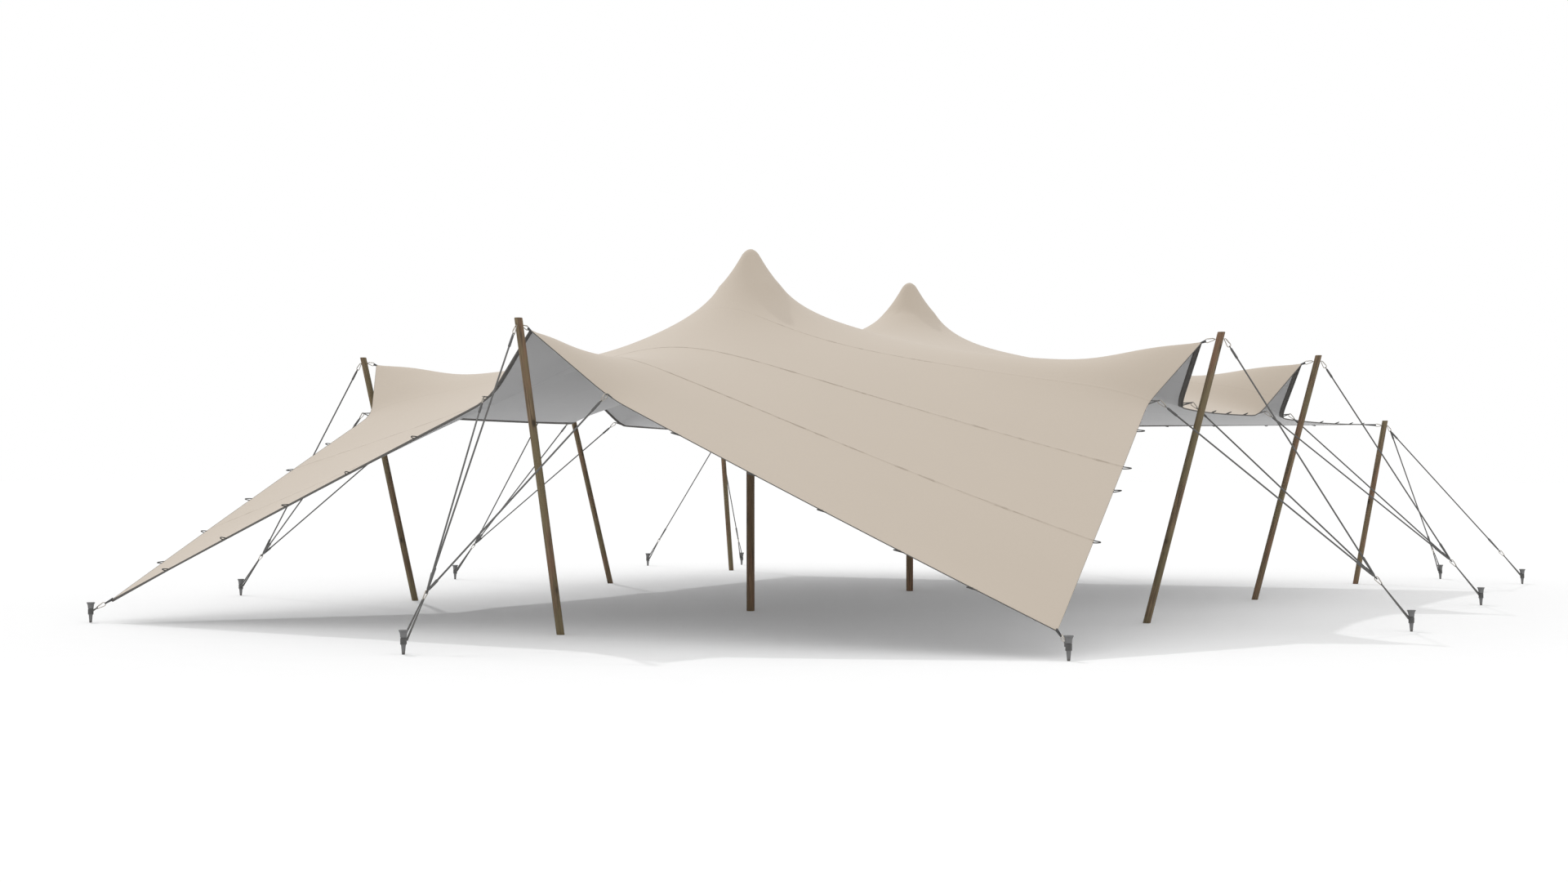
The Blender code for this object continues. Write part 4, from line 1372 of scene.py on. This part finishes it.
def carabiner(form, start, end, wide_at_start):
    """A pear of round wire with a straight gate, standing in an upright plane."""
    heading = unit(end - start)
    side = upright(heading)
    path, gate = pear_path(start + heading * LINK_WIRE, end - heading * LINK_WIRE, side, wide_at_start)
    sweep(form, path, circle(LINK_WIRE, WIRE_SIDES), METAL, closed=True)
    sweep(form, gate, circle(GATE_RADIUS, WIRE_SIDES), METAL)
    plane = unit(np.cross(heading, side))
    for point in (gate[0], gate[-1]):
        reach = plane * GATE_RADIUS * RIVET_REACH
        rivet = along(point - reach, point + reach, 2)
        sweep(form, rivet, circle(GATE_RADIUS * 0.5, WIRE_SIDES), METAL)


def eye(form, point, heading, plane, slot):
    """A small rope eye that ends at the point and hooks what lies there."""
    heading = unit(heading)
    across = unit(plane - heading * np.dot(plane, heading))
    path = []
    for step in range(EYE_STEPS):
        angle = math.tau * step / EYE_STEPS
        reach = -math.cos(angle) * EYE_LENGTH / 2
        spread = math.sin(angle) * EYE_WIDTH / 2 * (1.0 - EYE_TAPER * math.cos(angle))
        path.append(point + heading * (reach + EYE_SHIFT) + across * spread)
    sweep(form, path, circle(EYE_RADIUS, WIRE_SIDES), slot, closed=True)


def sleeve(form, start, end, first, last):
    """A whipped cover over the spliced rope, rounded at both ends."""
    path = along(start, end, SLEEVE_STEPS)
    length = np.linalg.norm(path[-1] - path[0])
    scales = []
    for number in range(SLEEVE_STEPS + 1):
        part = number / SLEEVE_STEPS
        from_end = min(part, 1.0 - part) * length / SLEEVE_END
        ends = min(1.0, SLEEVE_NOSE + (1.0 - SLEEVE_NOSE) * from_end)
        scales.append((first + (last - first) * part) * ends)
    sweep(form, path, circle(1.0, TUBE_SIDES), SLEEVE, scales=scales)


def rope_run(form, start, end, wide_at_start, lower_sleeve=LOWER_SLEEVE_LENGTH):
    """Carabiner and the rope below it, from a high point to the junction."""
    heading = unit(end - start)
    link_end = start + heading * LINK_LENGTH
    carabiner(form, start, link_end, wide_at_start)
    rope_below(form, link_end, end, lower_sleeve)


def rope_below(form, start, end, lower_sleeve=LOWER_SLEEVE_LENGTH):
    """Short sleeve, rope and lower sleeve, from a carabiner's end to the junction."""
    heading = unit(end - start)
    level = crosswise(heading)
    eye(form, start - heading * EYE_RADIUS, heading, level, SLEEVE)
    sleeve_start = start + heading * SLEEVE_GAP
    sleeve_end = sleeve_start + heading * SLEEVE_LENGTH
    sleeve(form, sleeve_start, sleeve_end, SLEEVE_TIP_RADIUS, SLEEVE_RADIUS)
    lower_end = end - heading * EYE_LENGTH * 0.5
    lower_start = lower_end - heading * lower_sleeve
    rope = along(sleeve_end - heading * ROPE_OVERLAP, lower_start + heading * ROPE_OVERLAP, 4)
    sweep(form, rope, circle(ROPE_RADIUS, TUBE_SIDES), ROPE)
    sleeve(form, lower_start, lower_end, LOWER_SLEEVE_RADIUS, ROPE_RADIUS * 1.2)
    eye(form, end + heading * EYE_LENGTH * 0.25, -heading, level, SLEEVE)


def stake_wrap(form, x, y, turn_from):
    """Cord wound round the stake's neck."""
    rise = WRAP_HIGH - WRAP_LOW - 2 * WRAP_CORD
    turns = rise / (2 * WRAP_CORD)
    steps = int(turns * WRAP_STEPS)
    path = []
    for step in range(steps + 1):
        angle = turn_from + math.tau * turns * step / steps
        height = WRAP_LOW + WRAP_CORD + rise * step / steps
        spot = (x + WRAP_CENTRE * math.cos(angle), y + WRAP_CENTRE * math.sin(angle), height)
        path.append(spot)
    sweep(form, path, circle(WRAP_CORD * WRAP_TIGHTNESS, WRAP_SIDES), SLEEVE)


def wrap_middle(stake, rise=0.0):
    """Middle of the cord round a stake's neck."""
    return np.array((stake[0], stake[1], WRAP_MIDDLE + rise))


def sling(form, link_end, heading, stake):
    """Two strands from the carabiner's end to both sides of the wrapped cord."""
    centre = wrap_middle(stake, SLING_RISE)
    side = crosswise(heading)
    behind = centre - unit((heading[0], heading[1], 0.0)) * SLING_BACK
    spread = side * (WRAP_CENTRE - SLING_TUCK)
    bend = side * SLING_BEND
    path = along(behind + spread, link_end + bend, SLING_STEPS)
    path += half_turn(link_end, bend, -heading * SLING_BEND)
    path += along(link_end - bend, behind - spread, SLING_STEPS)
    whole = np.linalg.norm(centre - link_end)
    scales = [1.0 + SLING_SWELL * np.linalg.norm(point - link_end) / whole for point in path]
    sweep(form, path, circle(STRAND_RADIUS, TUBE_SIDES), ROPE, scales=scales)
    stake_wrap(form, stake[0], stake[1], math.atan2(-heading[1], -heading[0]))


def lower_link(form, junction, stake):
    heading = unit(wrap_middle(stake, SLING_RISE) - junction)
    start = junction - heading * LINK_OVERLAP
    end = start + heading * LINK_LENGTH
    carabiner(form, start, end, True)
    sling(form, end - heading * LINK_WIRE, heading, stake)


def pole_eye(form, foot, top, toward):
    """A screw eye on the side of the pole's top that faces a point: a shank and a level ring."""
    centre = foot + (top - foot) * (1.0 - TIE_BELOW_TOP / top[2])
    outward = unit((toward[0] - centre[0], toward[1] - centre[1], 0.0))
    level = crosswise(outward)
    hold = centre + outward * (SIDE_RADIUS + RING_REACH)
    middle = hold - outward * (RING_RADIUS - RING_WIRE - LINK_WIRE)
    ring = circle(RING_RADIUS, RING_STEPS)
    path = [middle + outward * ahead + level * across for ahead, across in ring]
    sweep(form, path, circle(RING_WIRE, WIRE_SIDES), METAL, closed=True)
    shank = along(centre + outward * SIDE_RADIUS * 0.7, middle - outward * RING_RADIUS * 0.9, 2)
    sweep(form, shank, circle(RING_WIRE, WIRE_SIDES), METAL)
    return hold


def web_loop(form, inner, outer, first=WEB_NARROW, last=1.0):
    """Upright webbing sewn to the cloth, led out round a wire and back on itself."""
    heading = unit(outer - inner)
    lift = crosswise(heading) * (WEB_THICKNESS * 0.5 + LINK_WIRE)
    wire = outer - heading * LINK_WIRE
    path = along(inner - lift, wire - lift, 6)
    path += half_turn(wire, -lift, heading * np.linalg.norm(lift))
    path += along(wire + lift, inner + lift * 0.4, 4)
    length = np.linalg.norm(outer - inner)
    scales = [first + (last - first) * np.dot(point - inner, heading) / length for point in path]
    sweep(form, path, tape(WEB_WIDTH, WEB_THICKNESS), WEBBING, side=upright(heading), scales=scales)


def tie(form, corner, foot, top):
    """Webbing out of the membrane's tip and a carabiner up to the pole's screw eye."""
    end = pole_eye(form, foot, top, corner)
    heading = unit(end - corner)
    end = end + heading * LINK_WIRE
    link_start = end - heading * LINK_LENGTH
    tuck = corner - heading * WEB_TUCK - upright(heading) * WEB_WIDTH * WEB_NARROW / 2
    web_loop(form, tuck, link_start + heading * LINK_WIRE * 2)
    carabiner(form, link_start, end, True)


def fold_strap(form, bases, hold):
    """Doubled cord from two places under the hem, led round the carabiner's wire."""
    heading = unit(hold - (bases[0] + bases[1]) / 2)
    level = crosswise(heading)
    if np.dot(bases[0] - bases[1], level) < 0.0:
        level = -level
    round_wire = LINK_WIRE + FOLD_STRAP_CORD
    path = along(bases[0], hold + level * round_wire, 6)
    path += half_turn(hold, level * round_wire, heading * round_wire)
    path += along(hold - level * round_wire, bases[1], 6)
    sweep(form, path, circle(FOLD_STRAP_CORD, WIRE_SIDES), ROPE)


# Groups of pieces

def build_membrane(palette):
    across, lengthwise, points = membrane_points()
    lengthwise, points = with_seam_lines(lengthwise, points)
    normals = surface_normals(points)
    canopy = build_canopy(across, lengthwise, points, normals, palette["top"], palette["under"])
    runs = edge_runs(across, lengthwise, points, normals)
    hem = build_hem(runs, palette["hem"])
    loops = build_loops(runs, palette["loop"])
    return canopy, hem, loops


def timber(name, seed, colours, palette):
    return [wood_material("timber_" + name, seed, *colours), palette["wood_end"]]


def build_mid_station(name, foot, top, tip, folds, stake, strap_reach, palette, seed):
    woods = timber(name, seed, SIDE_WOOD, palette)
    build_pole("pole_" + name, foot, top, SIDE_RADIUS, woods, "side_wood", seed)
    build_stake("stake_" + name, stake[0], stake[1], palette["steel"])
    outward = unit(np.round(unit((stake[0], stake[1], 0.0))))
    junction = np.array((stake[0], stake[1], 0.0)) - outward * JUNCTION_INSET
    junction[2] = JUNCTION_HEIGHT
    form = Form()
    hold = pole_eye(form, foot, top, stake)
    rope_run(form, hold - unit(junction - hold) * LINK_WIRE, junction, False)
    for fold, lower_sleeve in zip(folds, (LOWER_SLEEVE_LENGTH, SHORT_SLEEVE_LENGTH)):
        place, bases = fold
        hold = place + outward * strap_reach + np.array((0.0, 0.0, FOLD_STRAP_RISE))
        fold_strap(form, [base - outward * LOOP_TUCK for base in bases], hold)
        rope_run(form, hold - unit(junction - hold) * LINK_WIRE, junction, True, lower_sleeve)
    lower_link(form, junction, stake)
    make_rig(form, "guy_" + name, "_rope", palette)
    form = Form()
    tie(form, tip, foot, top)
    make_rig(form, "tie_" + name, "_web", palette)


def fold_places(edge, folds):
    """Each fold of an edge, with the two places beside it where its strap is sewn."""
    drop = np.array((0.0, 0.0, HEM_DROP))
    places = []
    for fold in folds:
        bases = [edge_point(edge, fold + offset) - drop for offset in (-FOLD_STRAP_HALF, FOLD_STRAP_HALF)]
        places.append((edge_point(edge, fold), bases))
    return places


def build_end_stations(palette):
    for seed, (name, side) in enumerate((("front", -1), ("back", 1)), END_SEED):
        foot = np.array((0.0, side * END_POLE_FOOT_Y, 0.0))
        top = np.array((0.0, side * END_POLE_TOP_Y, SIDE_TOP_HEIGHT))
        tip = np.array((0.0, side * END_TIP_Y, TIP_HEIGHT))
        edge = end_edge(side)
        folds = fold_places(edge, edge[2])
        stake = (0.0, side * END_STAKE_Y)
        build_mid_station(name, foot, top, tip, folds, stake, END_STRAP_REACH, palette, seed)


def build_side_stations(palette):
    seed = SIDE_SEED
    for side_name, side in (("left", -1), ("right", 1)):
        edge = side_edge(side)
        for row_name, row in (("front", -1), ("back", 1)):
            y = row * POLE_ROW_Y
            folds = fold_places(edge, [place for place in edge[2] if place * row > 0])
            foot = on_side((SIDE_POLE_FOOT_X, y, 0.0), side)
            top = on_side((SIDE_POLE_TOP_X, y, SIDE_TOP_HEIGHT), side)
            tip = on_side((SIDE_TIP_X, y, TIP_HEIGHT), side)
            stake = (side * SIDE_STAKE_X, row * SIDE_STAKE_Y)
            name = side_name + "_" + row_name
            reach = FOLD_STRAP_REACH if row < 0 else BACK_STRAP_REACH
            build_mid_station(name, foot, top, tip, folds, stake, reach, palette, seed)
            seed += 1


def build_corner_guy(form, label, start, stake, palette):
    """Rope from the end of the carabiner that both corner guys share, down to one stake."""
    centre = wrap_middle(stake)
    junction = centre + (start - centre) * CORNER_JUNCTION_PART
    rope_below(form, start, junction)
    lower_link(form, junction, stake)
    make_rig(form, "guy_" + label, "_rope", palette)


def build_corner_stations(palette):
    for seed, (name, side) in enumerate((("left", -1), ("right", 1)), CORNER_SEED):
        foot = on_side(CORNER_POLE_FOOT, side)
        top = on_side(CORNER_POLE_TOP, side)
        woods = timber("corner_" + name, seed, SIDE_WOOD, palette)
        build_pole("pole_corner_" + name, foot, top, SIDE_RADIUS, woods, "side_wood", seed)
        form = Form()
        tie(form, on_side(HIGH_CORNER, side), foot, top)
        make_rig(form, "tie_corner_" + name, "_web", palette)
        stakes = [on_side(spot, side) for _, spot in CORNER_STAKES]
        form = Form()
        hold = pole_eye(form, foot, top, (stakes[0] + stakes[1]) / 2)
        heading = unit(unit(stakes[0] - hold) + unit(stakes[1] - hold))
        start = hold - heading * LINK_WIRE
        link_end = start + heading * LINK_LENGTH
        carabiner(form, start, link_end, False)
        for (place, _), stake in zip(CORNER_STAKES, stakes):
            label = "corner_" + name + "_" + place
            build_stake("stake_" + label, stake[0], stake[1], palette["steel"])
            build_corner_guy(form, label, link_end, stake, palette)
            form = Form()


def build_low_corners(palette):
    for name, side in (("left", -1), ("right", 1)):
        stake = on_side(LOW_STAKE, side)
        corner = on_side(LOW_CORNER, side)
        heading = unit(wrap_middle(stake) - corner)
        web_end = corner + heading * STRAP_WEB_LENGTH
        link_start = web_end - heading * LINK_WIRE * 2
        link_end = link_start + heading * LOW_LINK_LENGTH
        form = Form()
        web_loop(form, corner - heading * WEB_TUCK, web_end, 1.0, WEB_NARROW)
        carabiner(form, link_start, link_end, True)
        sling(form, link_end - heading * LINK_WIRE, heading, stake)
        make_rig(form, "strap_low_" + name, "_web", palette)
        build_stake("stake_low_" + name, stake[0], stake[1], palette["steel"])


def build_king_poles(palette):
    for seed, (name, row) in enumerate((("front", -1), ("back", 1)), KING_SEED):
        y = row * POLE_ROW_Y
        top = (0.0, y, PEAK_HEIGHT - HEAD_HEIGHT - KING_TOP_GAP)
        woods = timber("king_" + name, seed, KING_WOOD, palette)
        build_pole("king_pole_" + name, (0.0, y, 0.0), top, KING_RADIUS, woods, "king_wood", seed)
        build_head("king_pole_head_" + name, y, palette["head"])


def make_palette():
    metal = ((0.50, 0.46, 0.40), (0.34, 0.31, 0.27), 0.42, 1.0)
    return {
        # The third colour of each cloth is its seam colour, partly painted shade along the seams; the
        # last number is that shade's share
        "top": fabric_material(
            "cloth_top", (0.543, 0.471, 0.392), (0.516, 0.448, 0.372), (0.345, 0.288, 0.226), 0.80, 0.55,
        ),
        "under": fabric_material(
            "cloth_under", grey(0.565), (0.527, 0.527, 0.532), (0.30, 0.30, 0.31), 0.75, 0.15,
        ),
        "hem": webbing_material("hem_band", (0.100, 0.095, 0.089)),
        "loop": braid_material("loop_cord", (0.048, 0.047, 0.045), FINE_BRAID),
        "rope": braid_material("guy_cord", (0.090, 0.088, 0.085), COARSE_BRAID),
        "sleeve": braid_material("cord_sleeve", (0.082, 0.081, 0.079), FINE_BRAID),
        "webbing": webbing_material("tip_webbing", (0.064, 0.064, 0.065)),
        "metal": steel_material("link_metal", *metal),
        "steel": steel_material("stake_iron", grey(0.215), grey(0.135), 0.55, 0.55),
        "wood_end": end_grain_material("timber_end", (0.22, 0.14, 0.08), (0.10, 0.06, 0.03)),
        "head": head_material("head_cover", (0.018, 0.018, 0.019), grey(0.05)),
    }


# Stage

def build_floor():
    bpy.ops.mesh.primitive_plane_add(size=FLOOR_SIZE, location=(0.0, 0.0, 0.0))
    floor = bpy.context.object
    floor.name = "floor"
    floor.data.materials.append(floor_material())


def set_light():
    scene = bpy.context.scene
    world = bpy.data.worlds.new("studio")
    world.use_nodes = True
    background = world.node_tree.nodes["Background"]
    background.inputs["Color"].default_value = opaque(grey(1.0))
    background.inputs["Strength"].default_value = WORLD_STRENGTH
    scene.world = world
    sun = bpy.data.objects.new("sun", bpy.data.lights.new("sun", "SUN"))
    sun.data.energy = SUN_STRENGTH
    sun.data.angle = math.radians(SUN_ANGLE)
    sun.rotation_euler = (math.radians(90.0 - SUN_ELEVATION), 0.0, math.radians(SUN_BEARING))
    scene.collection.objects.link(sun)
    scene.view_settings.view_transform = "Standard"
    scene.view_settings.look = "None"


def set_camera():
    camera = bpy.data.objects.new("camera", bpy.data.cameras.new("camera"))
    camera.location = CAMERA_PLACE
    camera.rotation_euler = (math.pi / 2 + CAMERA_PITCH, 0.0, CAMERA_YAW)
    camera.data.lens = CAMERA_LENS
    camera.data.sensor_width = SENSOR_WIDTH
    camera.data.clip_end = VIEW_DISTANCE
    bpy.context.scene.collection.objects.link(camera)
    bpy.context.scene.camera = camera


def main():
    palette = make_palette()
    canopy, hem, loops = build_membrane(palette)
    build_king_poles(palette)
    build_end_stations(palette)
    build_side_stations(palette)
    build_corner_stations(palette)
    build_low_corners(palette)
    build_floor()
    set_light()
    set_camera()


main()
